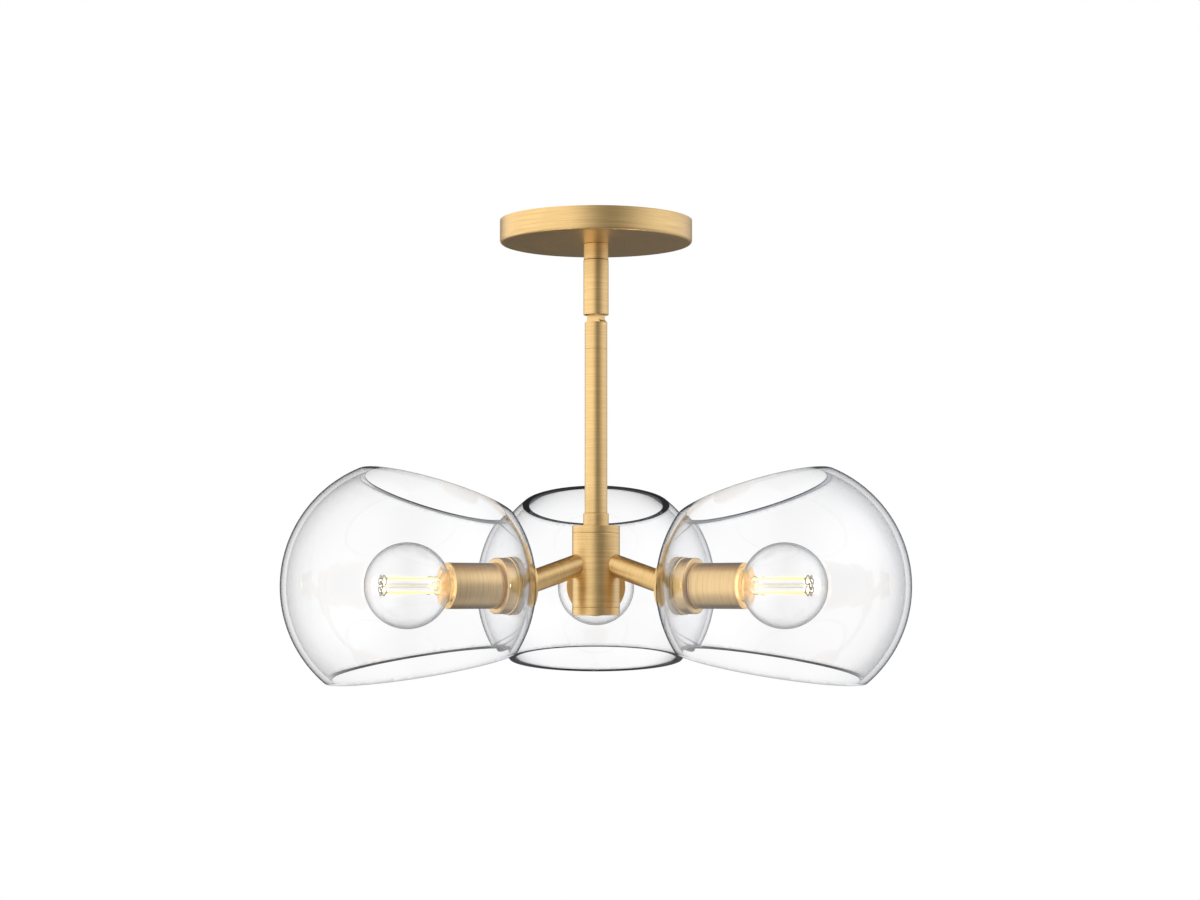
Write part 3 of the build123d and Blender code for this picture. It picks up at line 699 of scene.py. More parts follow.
@dataclass
class BlownGlobe:
    """A round glass wall with openings, whose points lie evenly on both of its spheres."""

    centre: float = 144.0
    outer: float = 84.97
    inner: float = 81.03
    spacing: float = 2.3
    border_room: float = 0.62
    border_mark: float = 0.4
    openings: tuple[Opening, ...] = (
        Opening((-cos(radians(10)), 0.0, -sin(radians(10))), 55.0, 144),
        Opening((cos(radians(18)), 0.0, -sin(radians(18))), 64.8, 144),
        Opening((0.0, 0.0, -1.0), 17.0, 64, 0.5, True))
    points: list[WallPoint] = field(default_factory=list, init=False)
    faces: list[tuple[int, ...]] = field(default_factory=list, init=False)

    def mesh(self, name: str) -> bpy.types.Mesh:
        """Builds the wall round the Z axis, with exact normals at every point.

        Args:
            name: The mesh's name.

        Returns:
            The mesh in metres, with the socket axis along Z.
        """
        self.points, self.faces = [], []
        bands = [self.edge_rings(opening) for opening in self.openings]
        self.skin([band[0] for band in bands], self.outer, 1)
        self.skin([band[-1] for band in bands], self.inner, -1)
        lift = Vector((0.0, 0.0, self.centre))
        mesh = bpy.data.meshes.new(name)
        mesh.from_pydata([(point.spot + lift) * MM for point in self.points], [],
                         [self.outward(face) for face in self.faces])
        for face in mesh.polygons:
            face.use_smooth = True
        mesh.normals_split_custom_set_from_vertices([point.normal for point in self.points])
        mark = mesh.attributes.new(RIM_MARK, "FLOAT", "POINT")
        mark.data.foreach_set("value", [point.mark for point in self.points])
        return mesh

    def add(self, spot: Vector, normal: Vector, mark: float = 0.0) -> int:
        """Adds one point of the wall and gives its number."""
        self.points.append(WallPoint(spot, normal, mark))
        return len(self.points) - 1

    def outward(self, face: tuple[int, ...]) -> tuple[int, ...]:
        """Turns a face to the side of its points' normals.

        Args:
            face: The numbers of its points.

        Returns:
            The same numbers in the right order.
        """
        middle = sum((self.points[corner].normal for corner in face), Vector())
        first, second, third = (self.points[corner].spot for corner in face[:3])
        return face if (second - first).cross(third - second).dot(middle) > 0 else face[::-1]

    def edge_rings(self, opening: Opening) -> list[list[int]]:
        """Adds the rounded edge of one opening, with its faces.

        Args:
            opening: The opening.

        Returns:
            The rings of point numbers, from the outer sphere to the inner.
        """
        turned = opening.frame()
        profile = opening.profile(self.outer, self.inner)
        rings = []
        for place, (along, off, normal_along, normal_off) in enumerate(profile):
            mark = 1.0 if 0 < place < len(profile) - 1 else self.border_mark
            ring = []
            for step in range(opening.steps):
                turn = TURN * step / opening.steps
                spot = Vector((off * cos(turn), off * sin(turn), along))
                normal = Vector((normal_off * cos(turn), normal_off * sin(turn), normal_along))
                ring.append(self.add(turned @ spot, turned @ normal, mark))
            rings.append(ring)
        for first, second in zip(rings, rings[1:]):
            self.faces += zip(first, first[1:] + first[:1], second[1:] + second[:1], second)
        return rings

    def skin(self, loops: list[list[int]], radius: float, side: int) -> None:
        """Covers one sphere between its openings with near-equal triangles.

        Args:
            loops: The openings' rings on this sphere. The first is the map's outer border.
            radius: The sphere's radius.
            side: 1 for the outside, -1 for the inside.
        """
        numbers = [number for loop in loops for number in loop]
        caps = []
        for loop in loops:
            middle = (sum((self.points[number].spot for number in loop), Vector())
                      / len(loop)).normalized()
            reach = self.points[loop[0]].spot.angle(middle)
            caps.append((middle, reach + self.border_room * self.spacing / radius))
        triangle_area = 0.866 * self.spacing**2
        count = round(4 * pi * radius**2 / triangle_area)
        golden = pi * (3 - sqrt(5))
        for index in range(count):
            height = 1 - (2 * index + 1) / count
            level = sqrt(1 - height**2)
            spot = Vector((level * cos(golden * index), level * sin(golden * index), height))
            if all(spot.angle(middle) > reach for middle, reach in caps):
                numbers.append(self.add(spot * radius, spot * side))
        flat_frame = TurningAxis((0.0, 0.0, 0.0), tuple(caps[0][0])).matrix.to_3x3().transposed()
        chart, edges, kinds = [], [], []
        for number in numbers:
            spot = self.points[number].spot
            local = flat_frame @ (spot / spot.length)
            chart.append(Vector((local.x / (1 - local.z), local.y / (1 - local.z))))
        for kind, loop in enumerate(loops):
            start, size = len(kinds), len(loop)
            edges += [(start + step, start + (step + 1) % size) for step in range(size)]
            kinds += [kind] * size
        kinds += [0] * (len(numbers) - len(kinds))
        result = delaunay_2d_cdt(chart, edges, [], 0, 1e-9)
        for triangle in result[2]:
            corners = [result[3][corner][0] for corner in triangle]
            kept = {kinds[corner] for corner in corners}
            if len(kept) > 1 or 0 in kept:
                self.faces.append(tuple(numbers[corner] for corner in corners))


class Recipe(Graph):
    """A Geometry Nodes tree with named inputs, run once and then kept as a plain mesh."""

    def __init__(self, name: str) -> None:
        """Makes an empty tree with a geometry going in and one coming out.

        Args:
            name: The tree's name.
        """
        super().__init__(bpy.data.node_groups.new(name, "GeometryNodeTree"))
        for way in ("OUTPUT", "INPUT"):
            self.tree.interface.new_socket("Geometry", in_out=way, socket_type="NodeSocketGeometry")
        self.keys: dict[str, str] = {}
        self.entry = self.node("NodeGroupInput")

    def size(self, name: str, kind: str = "NodeSocketFloat") -> Signal:
        """Adds a named input.

        Args:
            name: The input's name.
            kind: The type of its socket.

        Returns:
            Its value in the tree.
        """
        made = self.tree.interface.new_socket(name, in_out="INPUT", socket_type=kind)
        self.keys[name] = made.identifier
        return self.entry.output(name)

    def close(self, geometry: Signal) -> None:
        """Ends the tree in Realize Instances and Set Material.

        Args:
            geometry: What the tree has made.
        """
        plain = self.node("GeometryNodeRealizeInstances", {"Geometry": geometry})
        finish = self.size("Material", "NodeSocketMaterial")
        dressed = self.node("GeometryNodeSetMaterial", {"Geometry": plain, "Material": finish})
        self.node("NodeGroupOutput", {0: dressed})

    def run(self, piece: bpy.types.Object, values: dict) -> None:
        """Runs the tree on a piece and keeps the result as the piece's own mesh.

        Args:
            piece: The piece, whose mesh goes in.
            values: What the named inputs get.
        """
        modifier = piece.modifiers.new(self.tree.name, "NODES")
        modifier.node_group = self.tree
        for name, value in values.items():
            modifier[self.keys[name]] = value
        result = evaluated_mesh(piece)
        piece.modifiers.remove(modifier)
        piece.data = result
        result.name = piece.name


class ScrewThread(Recipe):
    """Rolls a single screw thread into the round surfaces of a piece that stands on Z."""

    def __init__(self) -> None:
        """Builds the tree: each point is drawn in by a wave that climbs with the turn."""
        super().__init__("screw_thread")
        pitch, depth = self.size("Pitch"), self.size("Depth")
        start, end = self.size("Start"), self.size("End")
        inner = self.size("Inner Radius")
        x, y, z = self.parts(self.node("GeometryNodeInputPosition"))
        radius = (x * x + y * y) ** 0.5
        climb = z / pitch * TURN - self.maths("ARCTAN2", y, x)
        wave = self.maths("COSINE", climb) * 0.5 + 0.5
        run_in = ((z - start) / pitch).step(0.0, 1.0)
        run_out = ((end - z) / pitch).step(0.0, 1.0)
        drawn = wave * depth * run_in * run_out * radius.above(inner) / radius.larger(0.00001)
        shift = self.vector(x * drawn * -1, y * drawn * -1, 0.0)
        self.close(self.node("GeometryNodeSetPosition", {"Geometry": self.entry, "Offset": shift}))


class LightSticks(Recipe):
    """Round-ended sticks that stand in a ring round Z."""

    def __init__(self) -> None:
        """Builds the tree: one stick is swept along a line and set on the points of a circle."""
        super().__init__("light_sticks")
        count = self.size("Count", "NodeSocketInt")
        ring, radius = self.size("Ring Radius"), self.size("Stick Radius")
        start, length = self.size("Start"), self.size("Length")
        line = self.node("GeometryNodeCurvePrimitiveLine", {
            "Start": self.vector(0.0, 0.0, start), "End": self.vector(0.0, 0.0, start + length)})
        points = self.node("GeometryNodeResampleCurve", {"Curve": line, "Count": 65})
        along = self.node("GeometryNodeSplineParameter")
        end_share = (along.larger(0.0).smaller(1.0) - along * along) * 4.0
        rounding = (end_share * length / (radius * 4.0)).smaller(1.0)
        dome = ((2.0 - rounding) * rounding) ** 0.5
        shaped = self.node("GeometryNodeSetCurveRadius", {
            "Curve": points, "Radius": dome.larger(0.12)})
        section = self.node("GeometryNodeCurvePrimitiveCircle", {
            "Resolution": 20, "Radius": radius})
        stick = self.node("GeometryNodeCurveToMesh", {
            "Curve": shaped, "Profile Curve": section, "Fill Caps": True})
        circle = self.node("GeometryNodeMeshCircle", {"Vertices": count, "Radius": ring})
        spread = self.node("GeometryNodeInstanceOnPoints", {"Points": circle, "Instance": stick})
        half_step = TURN / 2 / count.larger(1.0)
        turned = self.node("GeometryNodeTransform", {
            "Geometry": spread, "Rotation": self.vector(0.0, 0.0, half_step)})
        self.close(self.node("GeometryNodeSetShadeSmooth", {"Geometry": turned}))


class RingOfWires(Recipe):
    """Repeats the piece that goes in round Z at equal steps."""

    def __init__(self) -> None:
        """Builds the tree: points in one place, each with its own turn."""
        super().__init__("ring_of_wires")
        count = self.size("Count", "NodeSocketInt")
        first = self.size("First Turn")
        points = self.node("GeometryNodePoints", {"Count": count})
        turn = self.node("GeometryNodeInputIndex") * TURN / count.larger(1.0) + first
        self.close(self.node("GeometryNodeInstanceOnPoints", {
            "Points": points, "Instance": self.entry, "Rotation": self.vector(0.0, 0.0, turn)}))


def swept(name: str, path: list[Point], radius: float) -> bpy.types.Object:
    """A round wire along a smooth path.

    Args:
        name: The piece's name.
        path: Control points in metres.
        radius: The wire's radius in metres.

    Returns:
        The wire, in place, as a mesh with closed ends.
    """
    curve = bpy.data.curves.new(name, "CURVE")
    curve.dimensions = "3D"
    curve.bevel_depth = radius
    curve.bevel_resolution = 3
    curve.use_fill_caps = True
    spline = curve.splines.new("NURBS")
    spline.points.add(len(path) - 1)
    for point, spot in zip(spline.points, path):
        point.co = (*spot, 1.0)
    spline.order_u = 3
    spline.use_endpoint_u = True
    spline.resolution_u = 6
    holder = enter(name, curve)
    mesh = evaluated_mesh(holder)
    bpy.data.objects.remove(holder)
    bpy.data.curves.remove(curve)
    return smooth_piece(name, mesh, 50.0)


def stocked(finish: Finish) -> bpy.types.Material:
    """A field of the shop that holds one finish's material."""
    return field(default_factory=finish.material)


@dataclass
class Workshop:
    """The recipes and finishes that the sub-assemblies share."""

    thread: ScrewThread = field(default_factory=ScrewThread)
    sticks: LightSticks = field(default_factory=LightSticks)
    wires: RingOfWires = field(default_factory=RingOfWires)
    stem_gold: bpy.types.Material = stocked(BrushedGold("gold_brushed_round_stem", STEM_AXIS))
    steel: bpy.types.Material = stocked(PlatedSteel("zinc_plated_steel"))
    green: bpy.types.Material = stocked(PlatedSteel(
        "green_earthing_steel", STEM_AXIS, (0.07, 0.33, 0.12), (0.03, 0.17, 0.06),
        (0.05, 0.22, 0.09)))
    shade_glass: bpy.types.Material = stocked(ClearGlass("blown_shade_glass"))
    # The lamp glass's edge colour paints shade where a look grazes it.
    lamp_glass: bpy.types.Material = stocked(ClearGlass(
        "lamp_glass", tint=WHITE, edge=(0.01, 0.01, 0.01), edge_shade_power=4.0,
        ripple_scale=60.0, ripple_depth=0.00001))
    # The mount glass's yellow tint paints the lamp's glow in it, and its edge colour paints warm
    # shade where a look grazes it.
    mount_glass: bpy.types.Material = stocked(ClearGlass(
        "mount_glass", tint=(1.0, 0.90, 0.55), edge=(0.5, 0.42, 0.25), edge_shade_power=6.0,
        ripple_scale=300.0, ripple_depth=0.00002, faintness=0.6))
    # The gasket is clear silicone; its amber colours paint the gold that the ring and seat around
    # it reflect into it.
    gasket: bpy.types.Material = stocked(Ceramic(
        "silicone_painted_gold_reflection", (0.56, 0.46, 0.30), (0.44, 0.35, 0.22), 0.55, 0.1))
    porcelain: bpy.types.Material = stocked(Ceramic(
        "cream_porcelain", (0.80, 0.72, 0.58), (0.70, 0.58, 0.42)))
    insulator: bpy.types.Material = stocked(Ceramic(
        "black_cap_glass", (0.035, 0.025, 0.05), (0.02, 0.015, 0.03), 0.12, 0.8,
        (0.08, 0.06, 0.1)))
    brass: bpy.types.Material = stocked(PlatedSteel(
        "contact_brass", STEM_AXIS, (0.80, 0.58, 0.24), (0.56, 0.36, 0.13), (0.55, 0.33, 0.15),
        0.28))
    nickel: bpy.types.Material = stocked(PlatedSteel(
        "warm_nickel_plate", STEM_AXIS, (0.86, 0.70, 0.42), (0.62, 0.46, 0.24),
        (0.66, 0.48, 0.25), 0.3))
    sticks_glow: bpy.types.Material = stocked(GlowingStick("stick_glow"))
    wire: bpy.types.Material = stocked(DarkWire("support_wire"))


@dataclass
class SubAssembly(ABC):
    """A part of the light that dresses its solids and makes its own detailed pieces."""

    shop: Workshop

    @abstractmethod
    def build(self) -> None:
        """Makes and dresses all of its pieces."""

    def dress(self, finish: bpy.types.Material, *nodes: str) -> None:
        """Gives solids of the frame their finish.

        Args:
            finish: The material.
            *nodes: The solids' names.
        """
        for node in nodes:
            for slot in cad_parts[node].material_slots:
                slot.material = finish
            log.info("dressed %s in %s", node, finish.name)

    def fit(self, piece: bpy.types.Object, body: str, slot: str, *replaced: str) -> None:
        """Enters a made piece in the light.

        Args:
            piece: The piece, in place and in its finish.
            body: The body that it moves with.
            slot: The name of a material slot; not used.
            *replaced: The solids that it stands for.
        """
        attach(piece, body)
        if replaced:
            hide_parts(*replaced)
        log.info("made %s: %d faces on %s", piece.name, len(piece.data.polygons), body)

    def roll(self, piece: bpy.types.Object, thread: Thread, finish: bpy.types.Material,
             start: float, end: float, inner: float) -> None:
        """Rolls a screw thread into a piece that stands on Z.

        Args:
            piece: The piece.
            thread: The kind of thread.
            finish: The piece's material.
            start: Where the thread runs in, in millimetres along Z.
            end: Where it runs out.
            inner: The radius inside which nothing moves.
        """
        self.shop.thread.run(piece, {
            "Pitch": thread.pitch, "Depth": thread.depth, "Start": start * MM, "End": end * MM,
            "Inner Radius": inner * MM, "Material": finish})


@dataclass
class CeilingMount(SubAssembly):
    """The canopy with its collar, and the bracket, nipple and screws that it hides."""

    nipple_radius: float = 5.0
    nipple_bore: float = 3.2
    nipple_top: float = -0.2
    nipple_bottom: float = -40.5
    nipple_segments: int = 48
    ring_spacing: float = 0.235
    thread_skin: float = 0.2
    edge_break: float = 0.4

    def build(self) -> None:
        """Dresses the mount's solids and cuts the nipple's thread."""
        self.dress(self.shop.stem_gold, "canopy", "canopy_collar")
        self.dress(self.shop.steel, "ceiling_bracket", "lock_washer", "bracket_nut")
        self.dress(self.shop.green, "ground_screw")
        self.nipple()

    def nipple(self) -> None:
        """The threaded tube that holds the canopy up."""
        top, bottom = self.nipple_top, self.nipple_bottom
        start, end = bottom + self.edge_break, top - self.edge_break
        wall = [(reach, self.nipple_radius)
                for reach in between(start, end, round((end - start) / self.ring_spacing))]
        end_radius = self.nipple_radius - self.edge_break
        outline = [(bottom, self.nipple_bore), (bottom, end_radius), *wall,
                   (top, end_radius), (top, self.nipple_bore)]
        tube = Lathe(segments=self.nipple_segments).turn("threaded_nipple", outline)
        self.roll(tube, Thread.NIPPLE, self.shop.steel, bottom, top,
                  self.nipple_radius - self.thread_skin)
        self.fit(tube, "ceiling_mount", "zinc_steel", "ceiling_nipple")


@dataclass
class Swivel(SubAssembly):
    """The barrel under the collar, with the forked block and pins inside it."""

    def build(self) -> None:
        """Dresses the barrel in gold and what it hides in steel."""
        self.dress(self.shop.stem_gold, "swivel_sleeve")
        self.dress(self.shop.steel, "swivel_yoke", "swivel_pins")


@dataclass
class StemAndHub(SubAssembly):
    """The knuckle, the stem's tube, its collar and the hub."""

    def build(self) -> None:
        """Dresses what shows in gold and what is inside in steel."""
        self.dress(self.shop.stem_gold, "swivel_knuckle", "stem_rod", "stem_collar",
                   "hub_top_cap", "hub_body", "hub_bottom_cap")
        self.dress(self.shop.steel, "stem_nipple", "hub_nipple", "hub_nut")


@dataclass
class Lamp(SubAssembly):
    """One filament lamp on a socket axis."""

    number: int
    axis: TurningAxis
    globe_reach: float = 144.9
    globe_radius: float = 28.8
    globe_steps: int = 64
    glass_wall: float = 0.9
    glass_segments: int = 120
    neck_radius: float = 10.9
    neck_fillet: float = 5.0
    fillet_steps: int = 12
    neck_swell: float = 1.4
    swell_back: float = 110.4
    swell_front: float = 114.4
    swell_steps: int = 8
    button_front: float = 85.7
    button_height: float = 0.8
    button_radius: float = 3.2
    cap_back: float = 90.3
    cap_length: float = 25.2
    cap_radius: float = 12.95
    cap_steps: int = 72
    rim_radius: float = 13.2
    rim_length: float = 6.4
    face_radius: float = 11.05
    throat_radius: float = 8.6
    taper_height: float = 2.1
    wall: float = 0.35
    edge_break: float = 0.1
    stick_count: int = 4
    stick_ring: float = 6.5
    stick_radius: float = 0.9
    stick_length: float = 38.0
    stick_back: float = 123.7
    rod_radius: float = 1.4
    wire_radius: float = 0.33

    @property
    def body(self) -> str:
        """The body that the lamp moves with."""
        return f"bulb_{self.number}"

    @property
    def thread_front(self) -> float:
        """Where the cap's thread ends and its rim begins."""
        return self.cap_back + self.cap_length - self.rim_length

    def build(self) -> None:
        """Makes the lamp's glass, cap, sticks and wires, and dresses the rest."""
        self.envelope()
        self.dress(self.shop.mount_glass, f"bulb_mount_{self.number}")
        self.dress(self.shop.insulator, f"bulb_insulator_{self.number}")
        self.cap()
        self.filaments()
        self.support_wires()

    def envelope(self) -> None:
        """The lamp's glass, a globe that draws in to a straight neck."""
        outline: Outline = []
        for depth in (0.0, self.glass_wall):
            globe, neck = self.globe_radius - depth, self.neck_radius - depth
            fillet = self.neck_fillet + depth
            level = neck + fillet
            fillet_reach = self.globe_reach - sqrt((globe + fillet) ** 2 - level**2)
            last = atan2(level, fillet_reach - self.globe_reach)
            skin = [(self.globe_reach + globe * cos(turn), globe * sin(turn))
                    for turn in between(0.0, last, self.globe_steps)]
            skin += [(fillet_reach + fillet * cos(turn), level + fillet * sin(turn))
                     for turn in between(last - pi, -pi / 2, self.fillet_steps)[1:]]
            swell = between(self.swell_front, self.swell_back, self.swell_steps)
            skin += [(reach, neck + self.neck_swell * (1 - cos(pi * step / self.swell_steps)) / 2)
                     for step, reach in enumerate(swell)]
            skin.append((self.thread_front, neck + self.neck_swell))
            outline += skin if not outline else skin[::-1]
        lathe = Lathe(self.axis, self.glass_segments)
        piece = lathe.turn(f"lamp_envelope_{self.number}", outline)
        piece.data.materials.append(self.shop.lamp_glass)
        self.fit(piece, self.body, "lamp_glass", f"bulb_envelope_{self.number}")

    def cap(self) -> None:
        """The screw cap of thin rolled sheet, and the contact button at its foot."""
        start, end = self.cap_back + self.taper_height, self.thread_front
        side = between(start, end, self.cap_steps)
        front = self.cap_back + self.cap_length
        wall, edge = self.wall, self.edge_break
        outer = [(self.cap_back, self.throat_radius), *((reach, self.cap_radius) for reach in side),
                 (end + edge, self.rim_radius), (front - 1.5 * edge, self.rim_radius),
                 (front, self.rim_radius - edge), (front, self.face_radius + edge),
                 (front - edge, self.face_radius)]
        inner = [(front - wall, self.face_radius), (front - wall, self.rim_radius - wall),
                 (end + wall, self.rim_radius - wall),
                 *((reach, self.cap_radius - wall) for reach in reversed(side)),
                 (self.cap_back + wall, self.throat_radius)]
        foot, radius = self.button_front, self.button_radius
        button = [(foot, 0), (foot, radius - 0.6), (foot + 0.15, radius - 0.2),
                  (foot + 0.4, radius), (foot + self.button_height, radius),
                  (foot + self.button_height, 0)]
        lathe = Lathe(segments=self.cap_steps)
        piece = lathe.turn(f"lamp_cap_{self.number}", outer + inner, button)
        self.roll(piece, Thread.LAMP_CAP, self.shop.nickel, start, end,
                  self.cap_radius - wall - edge)
        piece.data.transform(self.axis.matrix)
        self.fit(piece, self.body, "cap_nickel", f"bulb_cap_{self.number}")

    def filaments(self) -> None:
        """The four glowing sticks round the glass rod."""
        piece = enter(f"light_sticks_{self.number}", bpy.data.meshes.new("blank"))
        self.shop.sticks.run(piece, {
            "Count": self.stick_count, "Ring Radius": self.stick_ring * MM,
            "Stick Radius": self.stick_radius * MM, "Start": self.stick_back * MM,
            "Length": self.stick_length * MM, "Material": self.shop.sticks_glow})
        piece.data.transform(self.axis.matrix)
        self.fit(piece, self.body, "filament", f"bulb_filaments_{self.number}")

    def support_wires(self) -> None:
        """Bent wires from the glass rod and its pinch to both ends of each stick."""
        back, front = self.stick_back, self.stick_back + self.stick_length
        ring, rod = self.stick_ring, self.rod_radius
        # The first two paths give each point's radius, its turn in degrees and its height over
        # the sticks' front ends. The third gives x, y and the reach along the lamp.
        tip = ((ring, 0, -0.5), (ring, 0, 0.9), (ring + 0.9, 10, 1.3), (ring + 0.8, 28, 1.4),
               (ring - 1.7, 36, 1.5), (ring - 1.9, 52, 1.5), (ring + 0.7, 60, 1.4),
               (ring + 0.9, 80, 1.3), (ring, 90, 0.9), (ring, 90, -0.5))
        curl = ((rod * 0.6, 0, 1.0), (rod * 0.8, 10, 2.3), (rod + 1.4, 30, 2.6),
                (rod + 1.7, 75, 2.4), (rod + 1.0, 115, 2.0), (rod + 1.9, 130, 1.7),
                (ring - 1.7, 126, 1.5))
        foot = [(2.0, 0.0, back - 3.4), (4.6, -0.5, back - 2.6), (ring + 0.6, -0.9, back - 0.4),
                (ring + 1.9, -0.4, back + 1.8), (ring + 1.7, 0.3, back + 3.4),
                (ring + 0.3, 0.2, back + 3.9), (ring - 0.1, 0.0, back + 2.0)]
        tips, curls = ([(radius * cos(radians(turn)), radius * sin(radians(turn)), front + rise)
                        for radius, turn, rise in path] for path in (tip, curl))
        for name, path in (("tip", tips), ("curl", curls), ("foot", foot)):
            piece = swept(f"lamp_wires_{name}_{self.number}",
                          [tuple(part * MM for part in spot) for spot in path],
                          self.wire_radius * MM)
            self.shop.wires.run(piece, {
                "Count": self.stick_count, "First Turn": pi / self.stick_count,
                "Material": self.shop.wire})
            piece.data.transform(self.axis.matrix)
            self.fit(piece, self.body, "mount_glass")


@dataclass
class GlobeLight(SubAssembly):
    """One arm with its glass globe, socket cup, ring and lamp. Angles are in degrees."""

    number: int
    azimuth: float
    socket_level: float = -256.3
    arm_root_level: float = -236.98
    arm_slope: float = 18.0
    cup_radius: float = 15.65
    cup_wall: float = 1.0
    cup_edge: float = 0.4
    cup_back: float = 59.0
    cup_floor: float = 61.0
    cup_mouth: float = 115.7
    cup_hole: float = 5.05
    cup_segments: int = 120
    edge_steps: int = 4
    lip_radius: float = 13.4
    lip_depth: float = 2.0
    thread_back: float = 60.0
    thread_front: float = 82.0
    ring_spacing: float = 0.25
    globe: BlownGlobe = field(default_factory=BlownGlobe)

    @property
    def outward(self) -> Vector:
        """The direction in which the light points."""
        return Vector((cos(radians(self.azimuth)), sin(radians(self.azimuth)), 0.0))

    @property
    def socket_axis(self) -> TurningAxis:
        """The level line through the middle of the light."""
        return TurningAxis((0.0, 0.0, self.socket_level * MM), tuple(self.outward))

    @property
    def arm_axis(self) -> TurningAxis:
        """The arm's own sloping line.

        Returns:
            The line, from the stem outwards and down.
        """
        slope = radians(self.arm_slope)
        along = self.outward * cos(slope) - Vector((0.0, 0.0, sin(slope)))
        return TurningAxis((0.0, 0.0, self.arm_root_level * MM), tuple(along))

    def build(self) -> None:
        """Dresses the light's solids and makes the globe, the cup's thread and the lamp."""
        number = self.number
        socket_gold = BrushedGold(
            f"gold_brushed_round_socket_{number}", self.socket_axis).material()
        arm_gold = BrushedGold(f"gold_brushed_round_arm_{number}", self.arm_axis).material()
        self.dress(arm_gold, f"arm_{number}")
        self.dress(socket_gold, f"seat_disc_{number}", f"retaining_ring_{number}")
        self.shade()
        self.dress(self.shop.gasket, f"shade_gaskets_{number}")
        self.dress(self.shop.porcelain, f"lampholder_{number}")
        self.dress(self.shop.brass, f"lampholder_contacts_{number}")
        self.cup(socket_gold)
        Lamp(self.shop, number, self.socket_axis).build()

    def shade(self) -> None:
        """The blown globe with its two slanted rims."""
        mesh = self.globe.mesh(f"blown_globe_{self.number}")
        mesh.transform(self.socket_axis.matrix)
        mesh.materials.append(self.shop.shade_glass)
        piece = enter(mesh.name, mesh)
        self.fit(piece, "fixture", "clear_glass", f"glass_shade_{self.number}")

    def cup(self, gold: bpy.types.Material) -> None:
        """The deep cup, with a rolled lip and the thread that the retaining ring runs on.

        Args:
            gold: The material.
        """
        radius, edge, mouth = self.cup_radius, self.cup_edge, self.cup_mouth
        bore = radius - self.cup_wall
        count = round((self.thread_front - self.thread_back) / self.ring_spacing)
        wall = [(reach, radius) for reach in between(self.thread_back, self.thread_front, count)]
        bend = [(edge * (1 - sin(turn)), edge * (1 - cos(turn)))
                for turn in between(0.0, pi / 2, self.edge_steps)]
        outer = [(mouth - back, radius - side) for back, side in bend]
        lip = [(mouth - back, self.lip_radius + side) for back, side in bend]
        outline = [(self.cup_back, self.cup_hole), (self.cup_back, radius), *wall,
                   *outer, *lip[::-1],
                   (mouth - self.lip_depth, self.lip_radius), (mouth - self.lip_depth, bore),
                   (self.cup_floor, bore), (self.cup_floor, self.cup_hole)]
        lathe = Lathe(segments=self.cup_segments)
        piece = lathe.turn(f"threaded_cup_{self.number}", outline)
        self.roll(piece, Thread.SOCKET_CUP, gold, self.thread_back, self.thread_front,
                  radius - self.cup_wall / 2)
        piece.data.transform(self.socket_axis.matrix)
        self.fit(piece, "fixture", "brushed_gold", f"socket_cup_{self.number}")


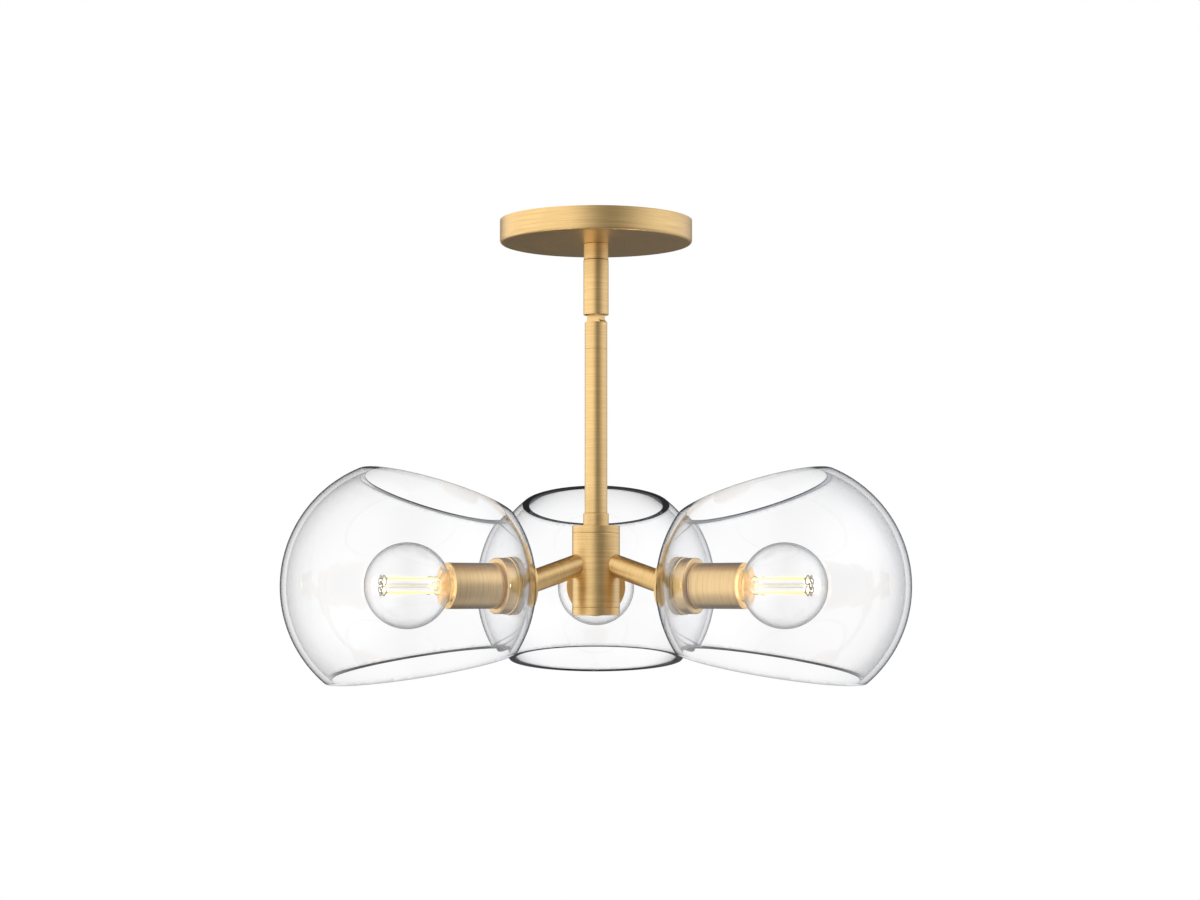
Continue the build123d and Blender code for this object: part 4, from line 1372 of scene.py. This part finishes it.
@dataclass
class Studio:
    """The camera, the lamps, the pale floor and the white surroundings. In metres and watts."""

    camera_place: Point = (-0.00007, -1.6299, -0.2640)
    softboxes: tuple[tuple[str, Point, float, float], ...] = (
        ("key_softbox", (-1.5, -1.3, 0.7), 1.3, 22.0),
        ("fill_softbox", (1.9, -0.6, 0.4), 1.6, 12.0),
        ("back_softbox", (0.5, 2.0, 0.9), 1.6, 12.0))
    glow_power: float = 0.22
    glow_reach: float = 0.124
    glow_colour: Colour = (1.0, 0.86, 0.60)
    floor_level: float = -2.0
    floor_radius: float = 14.0
    floor_pale: Colour = (0.86, 0.86, 0.86)
    floor_deep: Colour = (0.80, 0.80, 0.80)
    clear_white: float = 1.02
    matt_white: float = 0.55
    left_azimuth: float = -80.0
    right_azimuth: float = 110.0
    raised_azimuth: float = 68.0
    back_azimuth: float = 180.0
    left_colour: Colour = (1.13, 1.12, 1.13)
    right_colour: Colour = (0.74, 0.77, 0.88)

    def build(self) -> None:
        """Sets the scene up."""
        self.camera()
        self.floor()
        self.surroundings()
        for name, place, size, power in self.softboxes:
            self.softbox(name, place, size, power)
        scene = bpy.context.scene
        scene.view_settings.view_transform = "Standard"
        scene.cycles.max_bounces = scene.cycles.transmission_bounces = 28
        scene.cycles.glossy_bounces = 8
        scene.cycles.transparent_max_bounces = 32
        log.info("the studio is ready")

    def camera(self) -> None:
        """The camera at the photograph's place and angle."""
        data = bpy.data.cameras.new("camera")
        data.lens = Lens.FOCAL_LENGTH.value
        data.sensor_width = 36.0
        data.clip_start, data.clip_end = 0.05, 60.0
        camera = enter("camera", data)
        camera.location = self.camera_place
        camera.rotation_euler = (radians(90 + Lens.PITCH.value), 0.0, radians(Lens.YAW.value))
        bpy.context.scene.camera = camera

    def softbox(self, name: str, place: Point, size: float, power: float) -> None:
        """A square lamp that faces the light and is mirrored in nothing.

        Args:
            name: Its name.
            place: Where it hangs.
            size: Its side.
            power: Its power.
        """
        data = bpy.data.lights.new(name, "AREA")
        data.size = size
        data.energy = power
        lamp = enter(name, data)
        lamp.location = place
        aim = Vector((0.0, 0.0, -0.2)) - Vector(place)
        lamp.rotation_euler = aim.to_track_quat("-Z", "Y").to_euler()
        lamp.visible_glossy = lamp.visible_transmission = False

    def lamp_glow(self, light: GlobeLight) -> None:
        """The warm light that one lamp sheds on its own socket.

        Args:
            light: The light that the lamp is in.
        """
        data = bpy.data.lights.new(f"lamp_glow_{light.number}", "POINT")
        data.energy = self.glow_power
        data.color = self.glow_colour
        data.shadow_soft_size = 0.006
        lamp = enter(data.name, data)
        lamp.location = light.outward * self.glow_reach + Vector(light.socket_axis.origin)
        lamp.visible_transmission = lamp.visible_camera = False
        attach(lamp, f"bulb_{light.number}")

    def floor(self) -> None:
        """A wide round floor, white to the camera and through glass, that keeps soft shadows."""
        work = bmesh.new()
        bmesh.ops.create_circle(work, cap_ends=True, segments=96, radius=self.floor_radius)
        mesh = bpy.data.meshes.new("studio_floor")
        work.to_mesh(mesh)
        work.free()
        mesh.transform(Matrix.Translation((0.0, 0.0, self.floor_level)))
        surface = Surface("pale_floor")
        seat = surface.seat()
        mottle = surface.noise(seat, 1.4, 2.0, 0.5)
        matt = surface.shade({
            "Base Color": surface.blend(mottle, self.floor_deep, self.floor_pale),
            "Roughness": 0.9, "Specular IOR Level": 0.1})
        x, y, _ = surface.parts(seat)
        distance = (x * x + y * y) ** 0.5
        length = (distance * distance + self.floor_level**2) ** 0.5
        tone = self.metal_tone(x / length, y / length, self.floor_level / length)
        ray = surface.node("ShaderNodeLightPath", output="Is Camera Ray")
        seen = surface.mix(ray.output("Is Glossy Ray"), matt, surface.light(surface.vector(*tone)))
        shown = surface.mix(ray * (distance.step(1.6, 4.0) * 0.2 + 0.8), seen, surface.light())
        mesh.materials.append(surface.close(surface.mix(
            ray.output("Is Transmission Ray"), shown, surface.light(strength=self.clear_white))))
        enter("studio_floor", mesh)

    def metal_tone(self, x: Signal, y: Signal, z: Signal) -> list[Signal]:
        """How bright the studio is to a look mirrored in metal: dark ahead, bright at both sides.

        Args:
            x: The look's part to the right.
            y: Its part away from the camera.
            z: Its upward part.

        Returns:
            The brightness in red, green and blue.
        """
        level = ((x * x + y * y) ** 0.5).larger(0.001)

        def towards(azimuth: float) -> Signal:
            """How nearly a direction points to an azimuth, 1 where it does."""
            turn = radians(azimuth)
            return (x * sin(turn) - y * cos(turn)) / level

        # Each part of the room has an azimuth, and a height at which it fades out.
        down = z * -1.0
        roof = 1.0 - z.step(0.80, 0.98) * 0.4
        left = towards(self.left_azimuth).step(-0.05, 0.75)
        left_height = (1.0 - z.step(0.05, 0.75) * 0.12) * (1.0 - down.step(0.42, 0.95) * 0.62)
        right = towards(self.right_azimuth).step(0.1, 1.0)
        right_height = 1.0 - down.step(-0.05, 0.6) * 0.35
        raised = (towards(self.raised_azimuth).step(0.55, 1.0) * z.step(0.05, 0.45)
                  * (1.0 - z.step(0.70, 0.90)) * 0.62)
        back = (towards(self.back_azimuth).step(0.70, 0.98)
                * (0.74 - down.step(0.0, 0.35) * 0.16))
        return [((left * left_part + 0.25) * left_height + right * right_part * right_height
                 + raised) * (1.0 - back) * roof
                for left_part, right_part in zip(self.left_colour, self.right_colour)]

    def surroundings(self) -> None:
        """White all round for the camera and glass, a soft studio with darker parts for metal."""
        world = bpy.data.worlds.new("white_studio")
        world.use_nodes = True
        bpy.context.scene.world = world
        sky = Graph(world.node_tree)
        x, y, z = sky.parts(sky.node("ShaderNodeTexCoord", output="Generated"))
        ray = sky.node("ShaderNodeLightPath", output="Is Camera Ray")
        glossy, through = ray.output("Is Glossy Ray"), ray.output("Is Transmission Ray")
        plain = (1.0 - (ray + glossy + through).smaller(1.0)) * self.matt_white
        tones = [ray + (1.0 - ray) * (through * self.clear_white
                                      + glossy * (1.0 - through) * metal + plain)
                 for metal in self.metal_tone(x, y, z)]
        backdrop = sky.node("ShaderNodeBackground", {"Color": sky.vector(*tones), "Strength": 1.0})
        sky.node("ShaderNodeOutputWorld", {"Surface": backdrop})


def main() -> None:
    """Builds the light's sub-assemblies in order, then the studio round them."""
    logging.basicConfig(level=logging.INFO, format="%(name)s: %(message)s")
    shop = Workshop()
    studio = Studio()
    for kind in (CeilingMount, Swivel, StemAndHub):
        kind(shop).build()
    for number, azimuth in enumerate(LIGHT_AZIMUTHS, start=1):
        light = GlobeLight(shop, number, azimuth)
        light.build()
        studio.lamp_glow(light)
    studio.build()


if __name__ == "__main__":
    main()
